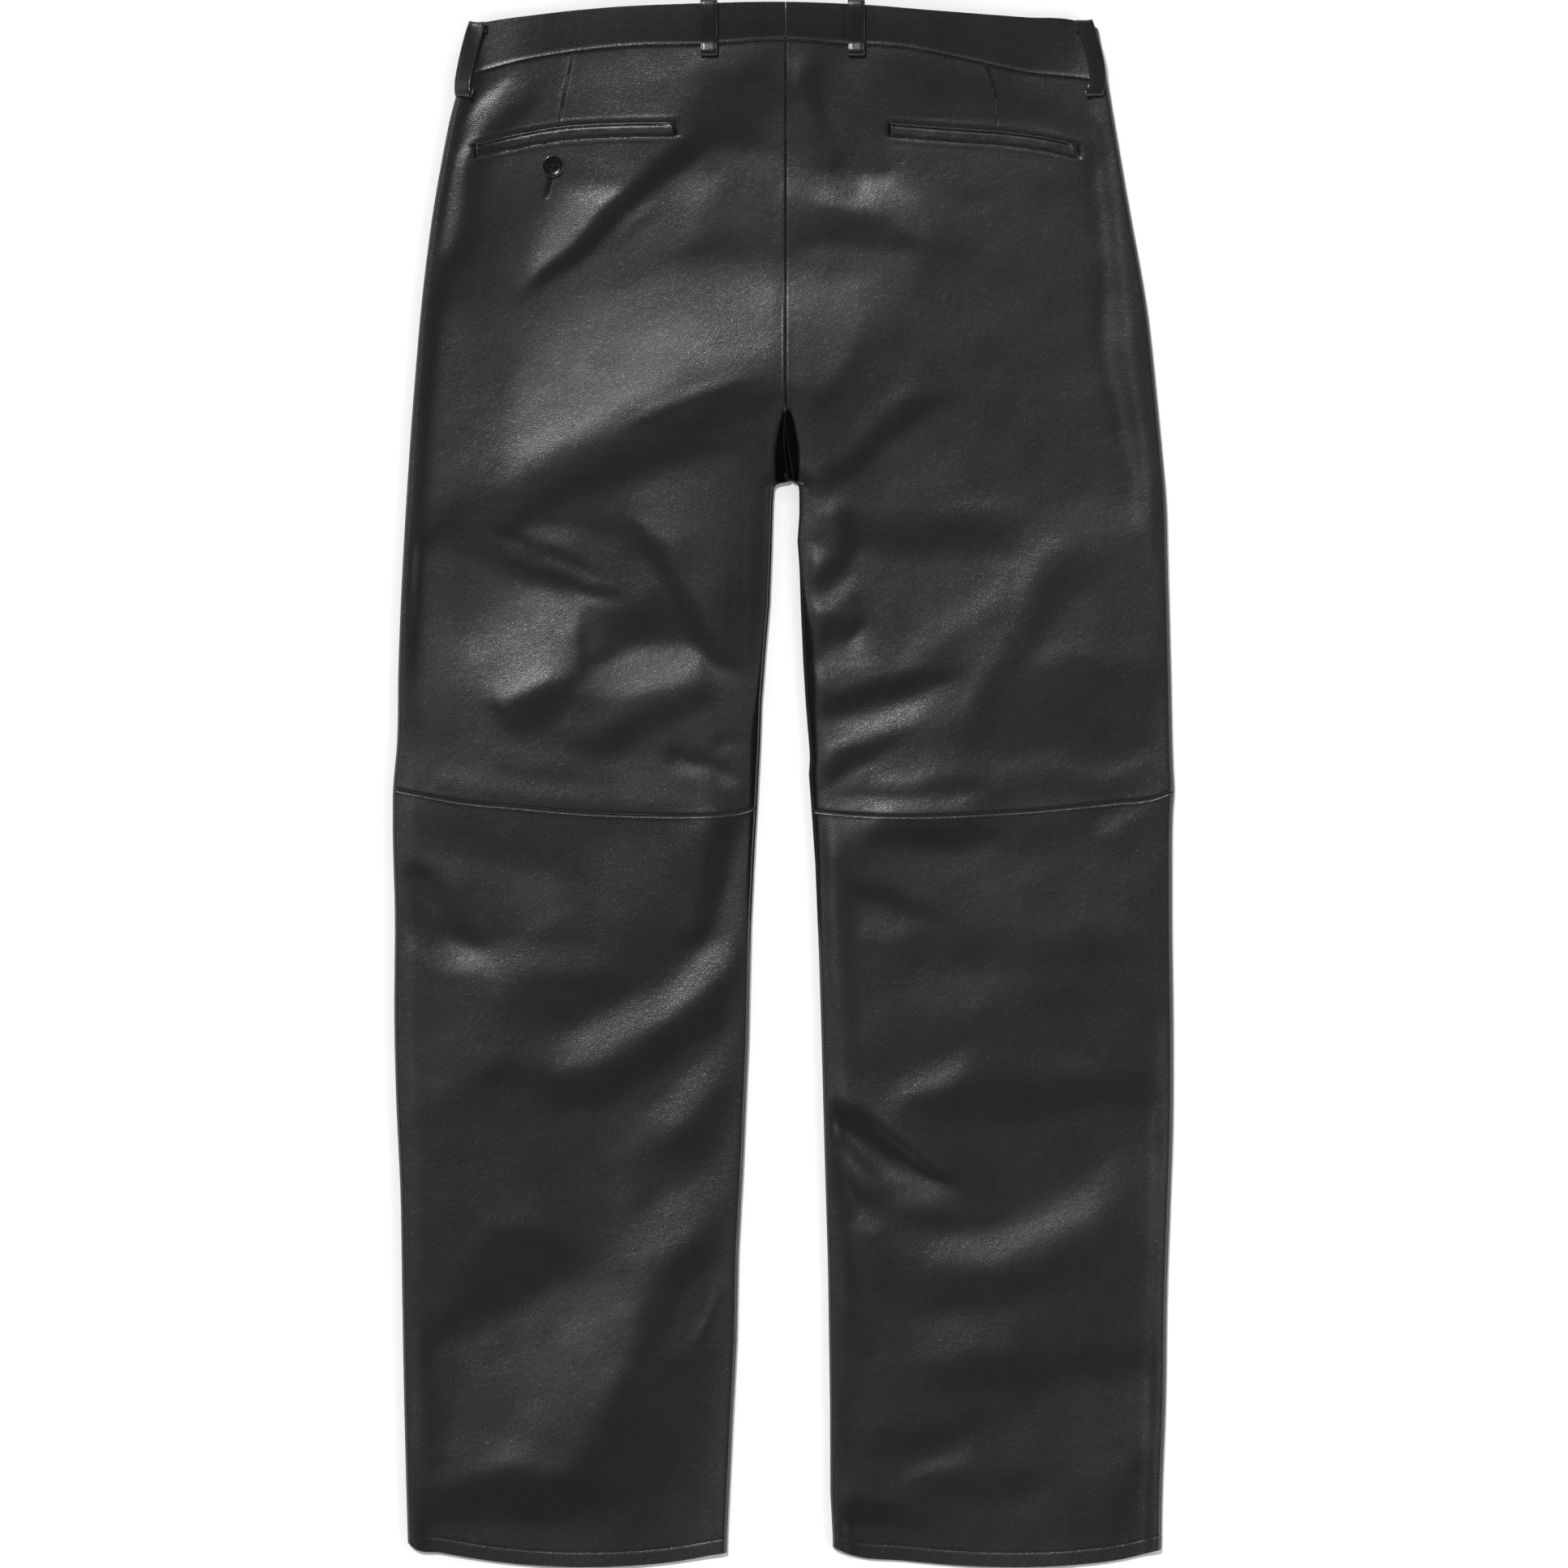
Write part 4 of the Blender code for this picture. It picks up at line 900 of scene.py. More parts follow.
def with_painted_shade(leg, sheet):
    """Painted shade: the centre seam, the hollow over the crotch and the folds under it are blackened."""
    x, y = sheet.outer[..., 0], sheet.outer[..., 1]
    widths = [getattr(row, leg.name) for row in SHADED]
    reach = smooth([row.y for row in SHADED], widths, np.clip(y, SHADED[-1].y, SHADED[0].y))
    fold = 1 - ramp(leg.from_inner(x, y), 0.4 * reach, 1.3 * reach)
    fold *= ramp(y, SHADE_END, SHADE_END + 30) * (y < CROTCH)
    seam = bell(x - CENTRE, 0.8) * (y > CROTCH)
    # dark is painted shade on the inseam folds, in the crotch hollow and in the centre seam.
    dark = np.maximum.reduce([fold, crotch_hollow(x, y), seam])
    return sheet._replace(groove=sheet.groove - PAINTED_SHADE_DEPTHS[1] * dark)


def shade_copy_on_inner_fold(leg, panel):
    """Paints shade on the fold under the crotch and the hollow over it with the panel's second material."""
    mesh = panel.data
    centre, look = np.empty(len(mesh.polygons) * 3), np.empty(len(mesh.polygons), np.int32)
    mesh.polygons.foreach_get("center", centre)
    mesh.polygons.foreach_get("material_index", look)
    x, y = centre.reshape(-1, 3)[:, :2].T / MM
    inner = (leg.from_inner(x, y) < INNER_FOLD * ramp(y, SHADE_END, SHADE_END + 40)) & (y < CROTCH)
    look[(look == 0) & (inner | (crotch_hollow(x, y) > 0.9))] = 1
    mesh.polygons.foreach_set("material_index", look)


# The panels' size across their middle, which sets how many rows and columns of points they get.
Panel = namedtuple("Panel", "length width")
THIGH = Panel(535.0, 236.0)
SHIN = Panel(525.0, 245.0)
BAND = Panel(30.0, 225.0)
BAND_STEP = 1.4
FRONT_LENGTH = 1007.0  # the hidden fronts are coarser than the backs
FRONT_STEP = 5.7
FRONT_COLUMNS = 38
FRONT_BAND_LENGTH = 36.0
FRONT_BAND_STEP = 3.0

# Where rows lie closer, by their distance from a panel's upper edge, and columns, by that from its side.
Closer = namedtuple("Closer", "low high step")
THIGH_ROWS = table(Closer, (0, 0, 0.35), (43, 66, 0.5), (262, 312, 1.0), (535, 535, 0.35))
SHIN_ROWS = table(Closer, (0, 0, 0.35), (515, 525, 0.6))
FRONT_ROWS = table(Closer, (252, 264, 0.8))
BAND_ROWS = table(Closer, (0, 0, 0.35), (30, 30, 0.35))
AT_DART = {"left": Closer(69.0, 80.5, 0.7), "right": Closer(79.0, 90.5, 0.7)}
AT_CENTRE = Closer(227, 236, 0.6)
AT_BAND_END = Closer(225, 225, 0.35)


def make_back_panels(leg, sizes, materials):
    """Back thigh and back shin of one leg."""
    step = sizes.mesh_step / MM
    back = dict(skin=lay, up=1, wall=sizes.leather / MM, turned=turned_back)
    thigh = sheet_points(
        leg, lambda x: waist(x) - SEAM / 2, lambda x: knee(x) + SEAM / 2, marks=thigh_marks,
        rows=graded(THIGH.length, step, THIGH_ROWS),
        mids=graded(THIGH.width, step, [AT_DART[leg.name], AT_CENTRE])[1:-1], **back,
    )
    shin = sheet_points(
        leg, lambda x: knee(x) - SEAM / 2, hem, marks=shin_marks,
        rows=graded(SHIN.length, step, SHIN_ROWS), mids=graded(SHIN.width, step)[1:-1], **back,
    )
    for name, points in (("thigh", thigh), ("shin", shin)):
        panel = walled(f"{name}_back_{leg.name}", with_painted_shade(leg, points), materials)
        shade_copy_on_inner_fold(leg, panel)
        crown(panel)
        place(panel, f"back_{name}_{leg.name}", "leather")


def make_front_panel(leg, sizes, materials):
    """The whole front of one leg, lying on the table."""
    front = sheet_points(
        leg, lambda x: across(FRONT_WAIST_SEAM, x) - SEAM / 2, hem, skin=table_top, up=-1,
        wall=sizes.leather / MM, turned=turned_front, rows=graded(FRONT_LENGTH, FRONT_STEP, FRONT_ROWS),
        mids=np.linspace(0, 1, FRONT_COLUMNS + 2)[1:-1],
    )
    front = walled(f"front_panel_{leg.name}", front, materials)
    crown(front)
    place(front, f"front_{leg.name}", "leather")


def make_band(leg, sizes, materials):
    """Back and front half of the waistband of one side."""
    wall = sizes.band / MM
    mids = graded(BAND.width, 0.8 * sizes.mesh_step / MM, [AT_BAND_END])[1:-1]
    back = sheet_points(
        leg, lambda x: across(BACK_TOP, x), lambda x: waist(x) + SEAM / 2, skin=back_band, up=1, wall=wall,
        turned=never, rows=graded(BAND.length, BAND_STEP, BAND_ROWS), mids=mids, marks=band_marks,
    )
    front = sheet_points(
        leg, lambda x: across(FRONT_TOP, x), lambda x: across(FRONT_WAIST_SEAM, x) + SEAM / 2, skin=table_top,
        up=-1, wall=wall, turned=never, rows=graded(FRONT_BAND_LENGTH, FRONT_BAND_STEP), mids=mids[::3],
    )
    for name, points in (("back", with_painted_shade(leg, back)), ("front", front)):
        band = walled(f"band_{name}_{leg.name}", points, materials)
        crown(band)
        place(band, f"waistband_{name}_{leg.name}", "leather")


def strap_rows(leg, where):
    """The loop's middle line, the direction of its width, and its outward direction, at close steps."""
    rows = BACK_LOOP if where == "back" else SIDE_LOOPS[leg.name]
    steps = np.arange(len(rows))
    at = np.linspace(0, len(rows) - 1, 8 * (len(rows) - 1) + 1)
    y, lift, tilt, slide = (smooth(steps, column, at) for column in zip(*rows))
    if where == "back":
        x = np.full(len(at), BACK_LOOP_AT[leg.name])
        held = np.clip(y, waist(x) + 1, across(BACK_TOP, x) - 1)
        rest = np.max([back_band(x + dx, held) for dx in (-6, 0, 6)], axis=0)
        path = np.stack([x, y, rest + lift], axis=1)
    else:
        turn = np.radians(tilt)
        out = np.sin(turn) * (SIDE_FOLD + lift) + np.cos(turn) * slide
        up = np.cos(turn) * (SIDE_FOLD + lift) - np.sin(turn) * slide
        path = np.stack([leg.outer(y) + leg.side * (out - SIDE_FOLD), y, SIDE_FOLD + up], axis=1)
    along = np.gradient(path, axis=0)
    along /= np.linalg.norm(along, axis=1, keepdims=True)
    turn = np.radians(tilt) * leg.side
    wide = np.stack([np.cos(turn), np.zeros(len(turn)), -np.sin(turn)], axis=1)
    wide -= along * np.sum(wide * along, axis=1, keepdims=True)
    wide /= np.linalg.norm(wide, axis=1, keepdims=True)
    return path, wide, np.cross(along, wide)


# A loop has points at these shares of its width, from one edge to its middle.
LOOP_COLUMNS = np.array([-0.5, -0.49, -0.46, -0.42, -0.37, -0.33, -0.28, -0.2, -0.1, 0.0])


def make_loop(leg, where, sizes, materials):
    """A belt loop: a strip of doubled leather, thinner at its edges and dented along its stitching."""
    path, wide, out = strap_rows(leg, where)
    shares = np.concatenate([LOOP_COLUMNS, -LOOP_COLUMNS[-2::-1]])
    off = np.abs(shares)
    half = sizes.loop_leather / MM / 2
    thick = half * (1 - 0.65 * (2 * off) ** 10) - 0.16 * bell(off - LOOP_STITCH, 0.035)
    middle = path[:, None, :] + wide[:, None, :] * shares[:, None] * sizes.loop_width / MM
    lift = out[:, None, :] * thick[:, None]
    # Painted shade: the loop's edges and its stitching lines are painted darker, through the groove
    # attribute.
    dark = -0.4 * ramp(off, 0.44, 0.49) - 0.25 * bell(off - LOOP_STITCH, 0.03)
    sheet = Sheet(middle + lift, middle - lift, np.broadcast_to(dark, middle.shape[:2]))
    loop = walled(f"loop_{where}_{leg.name}", sheet, materials, sharp=70)
    place(loop, f"belt_loop_{where}_{leg.name}", "leather")


# Cross-section of a pocket's welt from its upper to its lower edge: a narrow jet, the slit, and the wide jet.
WELT_SECTION = [
    (5.0, 0.35), (4.8, 0.7), (4.5, 0.9), (4.0, 0.95), (3.6, 0.85), (3.4, 0.4), (3.2, 0.16), (2.9, 0.16),
    (2.7, 0.3), (2.4, 0.6), (1.9, 0.8), (1.2, 0.88), (0.0, 0.91), (-1.2, 0.94), (-2.4, 0.97), (-3.3, 0.97),
    (-3.9, 0.9), (-4.3, 0.86), (-4.7, 0.7), (-5.0, 0.35),
]


def make_welt(leg, materials):
    """A pocket's welt: two jets with a slit between them, let into the back thigh."""
    rows = WELTS[leg.name]
    low, high = rows[0].x + WELT_END, rows[-1].x - WELT_END
    reach = high - low
    xs = low + reach * graded(reach, 1.4, table(Closer, (0, 0, 0.4), (reach, reach, 0.4)))
    off, thick = (np.array(column)[:, None] for column in zip(*WELT_SECTION))
    end = np.minimum(xs - low, high - xs)
    x, y = np.broadcast_arrays(xs[None, :], across(rows, xs)[None, :] + off)
    rest = lay(x, y) - WELT_SUNK + SEAM
    opened = ramp(end, 3.0, 7.0)  # the slit is shut at both ends of the welt
    wave = 0.02 * np.sin(xs * 0.9) + 0.05 * np.sin(xs * 0.31 + 1)
    filled = thick + (1 - opened) * np.maximum(0.75 - thick, 0) * (np.abs(off - 3.0) < 1.0)
    height = filled * (0.55 + 0.45 * ramp(end, 0.0, 1.2)) + wave * (thick > 0.9)
    # Painted shade: the slit is painted black and the welt's edges and ends darker, through the groove
    # attribute.
    slit = (off > 2.6) & (off < 3.5) & (end > 2.0)
    rim = np.where((np.abs(off) > 4.6) | (end < 0.5), -0.4, 0.0)
    sunk = np.where(slit, -1.0, rim)
    sheet = Sheet(np.dstack([x, y, rest + height]), np.dstack([x, y, rest]), sunk)
    welt = walled(f"welt_{leg.name}", sheet, materials, sharp=70)
    place(welt, f"pocket_welt_{leg.name}", "leather")


# Cross-section of the button, from the middle of its back round to its face: radius and height.
BUTTON_SECTION = [
    (0.0, 0.0), (6.6, 0.0), (7.6, 0.2), (8.0, 0.6), (8.05, 1.1), (7.9, 1.5), (7.5, 1.85), (7.0, 2.1),
    (6.6, 2.15), (6.2, 2.05), (5.8, 1.86), (5.4, 1.72), (4.6, 1.64), (2.6, 1.6), (0.0, 1.6),
]


def by_button(radius, angle, up=0.0):
    """A point round the button's axis."""
    return BUTTON_AT[0] + radius * cos(angle), BUTTON_AT[1] + radius * sin(angle), up


def make_button(material, thread):
    """A turned four-hole button with a raised rim, and the cross of thread that holds it."""
    turns = 64
    angles = np.linspace(0, 2 * pi, turns, endpoint=False)
    rim = np.array([by_button(BUTTON_RADIUS, a) for a in angles])
    base = max(lay(rim[:, 0], rim[:, 1]).max(), float(lay(*BUTTON_AT))) + SEAM
    verts = [by_button(0, 0, base)]
    verts += [by_button(r, a, base + up) for r, up in BUTTON_SECTION[1:-1] for a in angles]
    verts.append(by_button(0, 0, base + BUTTON_SECTION[-1][1]))
    tip, last = len(verts) - 1, len(verts) - 1 - turns
    pairs = [(j, (j + 1) % turns) for j in range(turns)]
    faces = [(0, 1 + after, 1 + j) for j, after in pairs]
    for ring in range(1, last, turns):
        faces += [(ring + j, ring + after, ring + turns + after, ring + turns + j) for j, after in pairs]
    faces += [(last + j, last + after, tip) for j, after in pairs]
    button = solid("button_turned", verts, faces, [material], sharp=60)
    corners = [pi / 4 + i * pi / 2 for i in range(4)]
    for angle in corners:
        bpy.ops.mesh.primitive_cylinder_add(vertices=20, radius=HOLE_RADIUS * MM, depth=DRILL_DEPTH * MM)
        drill = bpy.context.object
        drill.location = Vector(by_button(HOLE_RING, angle, base)) * MM
        cut = button.modifiers.new("hole", "BOOLEAN")
        cut.operation = "DIFFERENCE"
        cut.solver = "EXACT"
        cut.object = drill
        bpy.context.view_layer.objects.active = button
        bpy.ops.object.modifier_apply(modifier=cut.name)
        bpy.data.objects.remove(drill)
    button.data.shade_smooth()
    button.data.set_sharp_from_angle(angle=radians(40))
    place(button, "pocket_button", "button")
    strands = []
    for angle in corners[:2]:
        along = np.array([-cos(angle), -sin(angle)])
        for shift in CROSS_STRANDS:
            middle = np.array(BUTTON_AT) + shift * np.array([-along[1], along[0]])
            strands.append((*middle, base + CROSS_UP, *along, 0.0))
    sew("button_thread", strands, CROSS_LENGTH, CROSS_THREAD, thread, sunk=-0.1)


# Sewing. A stitch is a short bead of thread with its ends pulled into the leather. Its rings have a place
# along it, a width and a lift, as shares of its length and radius.
STITCH_RINGS = [
    (-0.42, 0.55, -0.35), (-0.2, 0.95, 0.05), (0.0, 1.0, 0.15), (0.2, 0.95, 0.05), (0.42, 0.55, -0.35),
]
STITCH_SIDES = 6
STITCH_TIP = 0.52


def sew(name, stitches, length, width, thread, sunk=0.12):
    """One joined mesh of stitches. Each is its middle point and its direction, in millimetres."""
    rows = np.asarray(stitches, float)
    middle, along = rows[:, :3], rows[:, 3:]
    along = along / np.linalg.norm(along, axis=1, keepdims=True)
    aside = np.cross(along, (0.0, 0.0, 1.0))
    aside /= np.linalg.norm(aside, axis=1, keepdims=True)
    up = np.cross(aside, along)
    radius = width / 2
    middle = middle + up * (radius - sunk - 0.5 * radius)
    parts = [middle - along * length * STITCH_TIP - up * radius]
    for share, wide, lift in STITCH_RINGS:
        for k in range(STITCH_SIDES):
            a = 2 * pi * k / STITCH_SIDES
            turn = aside * cos(a) * radius * wide + up * (sin(a) * 0.8 * wide + lift) * radius
            parts.append(middle + along * length * share + turn)
    parts.append(middle + along * length * STITCH_TIP - up * radius)
    verts = np.stack(parts, axis=1)
    count, per = verts.shape[:2]
    n = STITCH_SIDES
    bead = [(0, 1 + (k + 1) % n, 1 + k) for k in range(n)]
    for ring in range(len(STITCH_RINGS) - 1):
        a = 1 + ring * n
        bead += [(a + k, a + (k + 1) % n, a + n + (k + 1) % n, a + n + k) for k in range(n)]
    a = 1 + (len(STITCH_RINGS) - 1) * n
    bead += [(a + k, a + (k + 1) % n, per - 1) for k in range(n)]
    faces = [tuple(per * i + k for k in face) for i in range(count) for face in bead]
    thing = solid(name, verts.reshape(-1, 3), faces, [thread])
    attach(thing, "root")


def run_along(path):
    """How far along a path each of its points is."""
    return np.concatenate([[0], np.cumsum(np.linalg.norm(np.diff(path, axis=0), axis=1))])


def point_at(path, run):
    """The place on a path at a distance along it."""
    along = run_along(path)
    return np.stack([np.interp(run, along, column) for column in np.transpose(path)], axis=-1)


def seam_line(path, pitch, start=0.0, end=0.0):
    """Stitches along a path of points, a pitch apart, left out near its ends."""
    run = np.arange(start + pitch / 2, run_along(path)[-1] - end, pitch)
    ahead = point_at(path, run + pitch / 3) - point_at(path, run - pitch / 3)
    return np.concatenate([point_at(path, run), ahead], axis=1)


def on_leather(leg, marks, x, y):
    """Points on the outer surface of a back panel, in the dents of its sewing."""
    x, y = np.broadcast_arrays(np.asarray(x, float), np.asarray(y, float))
    return np.stack([x, y, lay(x, y) + marks(leg, x, y)], axis=1)


def beside_seam(leg, marks, seam, offset):
    """A path over or under a seam, from edge to edge of one leg's panel."""
    y = float(seam(leg.side * MID_LEG))
    inset = leg.side * STITCH_INSET
    x = np.linspace(leg.outer(y) - inset, leg.inner(y) + inset, 260)
    return on_leather(leg, marks, x, seam(x) + offset)


def pocket_stitches(leg, pitch):
    """Rows over and under the welt, two at its inner end, and a bar tack at its outer end."""
    rows = WELTS[leg.name]
    ends = rows[0].x, rows[-1].x
    outer, inner = ends[::-leg.side]
    below, above = WELT_STITCHES
    x = np.linspace(ends[0] - 1.0, ends[1] + 1.0, 200)
    lines = [seam_line(on_leather(leg, thigh_marks, x, across(rows, x) + up), pitch) for up in (above, below)]
    for gap in WELT_END_ROWS:
        at = inner - leg.side * gap
        y = np.linspace(below, above, 30) + across(rows, at)
        lines.append(seam_line(on_leather(leg, thigh_marks, at, y), pitch * 0.9))
    for up in TACK_ROWS:
        reach = np.array([outer - TACK_HALF, outer + TACK_HALF])
        tack = on_leather(leg, thigh_marks, reach, across(rows, outer) + up)
        lines.append(seam_line(tack, 3.0)[:1])
    return lines


def loop_stitches(leg, sizes, pitch):
    """A row along each edge of both loops."""
    lines = []
    for where in ("back", "side"):
        path, wide, out = strap_rows(leg, where)
        top = out * (sizes.loop_leather / MM / 2 - 0.12)
        for share in (-LOOP_STITCH, LOOP_STITCH):
            lines.append(seam_line(path + top + wide * share * sizes.loop_width / MM, pitch, 9, 9))
    return lines


def sew_leg(leg, sizes, thread):
    """The knee, hem, waist, pocket and loop stitching of one side."""
    pitch, width = sizes.stitch_pitch / MM, sizes.thread / MM
    seams = {
        "knee": [seam_line(beside_seam(leg, shin_marks, knee, -KNEE_STITCH), pitch)],
        "hem": [seam_line(beside_seam(leg, shin_marks, hem, HEM_STITCH), pitch)],
        "waist": [seam_line(beside_seam(leg, thigh_marks, waist, -WAIST_STITCH), pitch)],
        "pocket": pocket_stitches(leg, pitch),
        "loop": loop_stitches(leg, sizes, pitch),
    }
    for name, lines in seams.items():
        sew(f"{name}_stitches_{leg.name}", np.concatenate(lines), STITCH_SHARE * pitch, width, thread)


def sew_buttonhole(thread):
    """Close satin stitches down both sides of the buttonhole."""
    line = through(BUTTONHOLE, 1.0)
    stitches = []
    for side in (-1, 1):
        for run in np.arange(0.3, run_along(line)[-1] - 0.2, SATIN_STEP):
            here = point_at(line, run)
            dx, dy = point_at(line, run + 0.5) - here
            aside = np.array([-dy, dx]) / np.hypot(dx, dy)
            x, y = here + side * SATIN_OFF * aside
            stitches.append((x, y, float(lay(x, y)) + 0.05, *aside, 0.0))
    sew("buttonhole_stitches", stitches, SATIN_LENGTH, 0.5, thread)


# The closing, on the inside of the fronts.

def box_row(centres, size):
    """Points and faces of many small blocks of one size, with their upper edges drawn in."""
    verts, faces = [], []
    for cx, cy, cz in centres:
        first = len(verts)
        for level, pinch in ((-0.5, 1.0), (0.2, 1.0), (0.5, 0.7)):
            for sx, sy in ((-0.5, -0.5), (0.5, -0.5), (0.5, 0.5), (-0.5, 0.5)):
                verts.append((cx + sx * size[0] * pinch, cy + sy * size[1] * pinch, cz + level * size[2]))
        faces += [(first, first + 3, first + 2, first + 1), (first + 8, first + 9, first + 10, first + 11)]
        for ring in (first, first + 4):
            faces += [(ring + k, ring + (k + 1) % 4, ring + 4 + (k + 1) % 4, ring + 4 + k) for k in range(4)]
    return verts, faces


# Sizes of the small metal parts.
TOOTH = (3.0, 0.9, 0.7)
TOOTH_PITCH = 1.3
TOOTH_ASIDE = 0.9  # the teeth stand that far left and right of the tape's middle, by turns
BARE_TAPE = (4.0, 6.0)  # the tape's lower and upper end have no teeth
SLIDER = (7.0, 9.0, 0.8)
SLIDER_DOWN = 9.0  # the slider lies that far under the tape's upper end
SLIDER_GAP = 0.05  # and that far over the teeth
TONGUE = (7.0, 4.6, 0.7)


def make_closing(steel, brass):
    """Teeth and slider on the fly's zip tape, and the hook's tongue on its plate."""
    low, high = (np.array(corner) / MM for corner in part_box("fly_zip"))
    middle = (low[0] + high[0]) / 2
    rows = enumerate(np.arange(low[1] + BARE_TAPE[0], high[1] - BARE_TAPE[1], TOOTH_PITCH))
    teeth = [(middle + TOOTH_ASIDE * (-1) ** i, y, high[2] + TOOTH[2] / 2) for i, y in rows]
    slider = [(middle, high[1] - SLIDER_DOWN, high[2] + TOOTH[2] + SLIDER_GAP + SLIDER[2] / 2)]
    low, high = (np.array(corner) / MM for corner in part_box("waist_hook"))
    x, y = ((low + high) / 2)[:2]
    tongue = [(x, y + 1.5, high[2] + 0.45), (x, y - 3.2, high[2] + 0.75)]
    blocks = [
        ("zip_teeth", teeth, TOOTH, brass), ("zip_slider", slider, SLIDER, brass),
        ("hook_tongue", tongue, TONGUE, steel),
    ]
    for name, centres, size, metal in blocks:
        thing = solid(name, *box_row(centres, size), [metal])
        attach(thing, "root")


# Materials.

class Recipe:
    """A material being written: adds nodes and joins them."""

    def __init__(self, name):
        self.material = bpy.data.materials.new(name)
        self.material.use_nodes = True
        self.tree = self.material.node_tree
        self.shader = self.tree.nodes["Principled BSDF"]
        self.place = self.add("TexCoord").outputs["Object"]

    def add(self, kind, inputs=(), **settings):
        node = self.tree.nodes.new(f"ShaderNode{kind}")
        for name, value in settings.items():
            setattr(node, name, value)
        for name, value in dict(inputs).items():
            self.give(node.inputs[name], value)
        return node

    def give(self, socket, value):
        if isinstance(value, bpy.types.NodeSocket):
            self.tree.links.new(value, socket)
        else:
            socket.default_value = value

    def noise(self, scale, detail=2.0, roughness=0.5, at=None):
        inputs = {"Vector": at or self.place, "Scale": scale, "Detail": detail, "Roughness": roughness}
        return self.add("TexNoise", inputs).outputs["Fac"]

    def cells(self, at, scale, slope):
        """Rounded cells: 0 in the creases between them and 1 over their middles."""
        crease = self.add("TexVoronoi", {"Vector": at, "Scale": scale}, feature="DISTANCE_TO_EDGE")
        return self.scaled(crease.outputs["Distance"], 0.0, slope, 0.0, 1.0)

    def drawn_out(self, times):
        """Coordinates for lines along X, that many times as long as they are wide."""
        stretch = {0: self.place, 1: (1.0, times, 1.0)}
        return self.add("VectorMath", stretch, operation="MULTIPLY").outputs[0]

    def scaled(self, value, low, high, to_low, to_high):
        inputs = {"Value": value, "From Min": low, "From Max": high, "To Min": to_low, "To Max": to_high}
        return self.add("MapRange", inputs).outputs["Result"]

    def sum(self, *values):
        total = values[0]
        for value in values[1:]:
            total = self.add("Math", {0: total, 1: value}, operation="ADD").outputs[0]
        return total

    def times(self, a, b):
        return self.add("Math", {0: a, 1: b}, operation="MULTIPLY").outputs[0]

    def mix(self, share, first, second):
        node = self.add("Mix", data_type="RGBA")
        self.give(node.inputs["Factor"], share)
        self.give(node.inputs[6], first)
        self.give(node.inputs[7], second)
        return node.outputs[2]

    def bump(self, height, distance, strength=1.0, under=None):
        inputs = {"Height": height, "Distance": distance, "Strength": strength}
        if under is not None:
            inputs["Normal"] = under
        return self.add("Bump", inputs).outputs["Normal"]

    def finish(self, **sockets):
        for name, value in sockets.items():
            self.give(self.shader.inputs[name.replace("_", " ")], value)
        return self.material


def rgba(colour, factor=1.0):
    return (colour[0] * factor, colour[1] * factor, colour[2] * factor, 1.0)


def leather_material(name, finish, shine=1.0, grain=1.0, gloss=0.5):
    """Smooth grained leather: pebbles about a millimetre across, finer creases, and soft mottling."""
    r = Recipe(name)
    warp = r.add("TexNoise", {"Vector": r.place, "Scale": 260.0, "Detail": 2.0}).outputs["Color"]
    shift = r.add("VectorMath", {0: warp, 1: (0.5, 0.5, 0.5)}, operation="SUBTRACT").outputs[0]
    shift = r.add("VectorMath", {0: shift, "Scale": 0.0016}, operation="SCALE").outputs[0]
    at = r.add("VectorMath", {0: r.place, 1: shift}, operation="ADD").outputs[0]
    size = 1.0 / finish.grain
    pebbles = r.cells(at, size, 0.32)
    fine = r.cells(at, 2.3 * size, 0.3)
    creases = r.noise(260.0, 4.0, 0.6, at)
    mottle = r.noise(34.0, 4.0, 0.6)
    broad = r.noise(9.0, 2.0, 0.5)
    proud = r.add("Attribute", attribute_name="crown").outputs["Fac"]
    lighter_on_crowns = r.scaled(proud, 0.05, 0.9, 0.0, 1.0)
    groove = r.add("Attribute", attribute_name="groove").outputs["Fac"]
    normal = r.bump(creases, 0.00008 * grain, finish.relief)
    normal = r.bump(pebbles, 0.000055 * grain, finish.relief, normal)
    normal = r.bump(fine, 0.00001 * grain, finish.relief, normal)
    tone = r.scaled(mottle, 0.3, 0.7, 0.0, 1.0)
    colour = r.mix(tone, rgba(finish.leather, 0.9), rgba(finish.leather, 1.1))
    # The colour is lighter where the surface stands over its surroundings, on the crowns of folds.
    colour = r.mix(r.times(lighter_on_crowns, 0.45), colour, rgba(finish.leather, 2.0))
    # Painted shade: the groove attribute darkens the colour in dents, seams, slits, the crotch hollow and the
    # folds under it.
    colour = r.mix(groove, colour, rgba(finish.leather, 0.15))
    spread = r.sum(
        r.scaled(mottle, 0.3, 0.7, -0.01, 0.01), r.scaled(broad, 0.3, 0.7, -0.008, 0.008),
        r.scaled(pebbles, 0.0, 1.0, 0.03, -0.01), r.times(groove, -0.13), finish.roughness / shine,
    )
    return r.finish(Base_Color=colour, Roughness=spread, Normal=normal, Specular_IOR_Level=gloss)


def flesh_material(name, finish):
    """The leather's suede-like inner face."""
    r = Recipe(name)
    fibres = r.noise(1500.0, 4.0, 0.7)
    cloud = r.scaled(r.noise(60.0, 3.0), 0.3, 0.7, 0.0, 1.0)
    colour = r.mix(cloud, rgba(finish.leather, 1.4), rgba(finish.leather, 2.4))
    spread = r.scaled(fibres, 0.3, 0.7, 0.8, 0.95)
    return r.finish(Base_Color=colour, Roughness=spread, Normal=r.bump(fibres, 0.0002, 0.6))


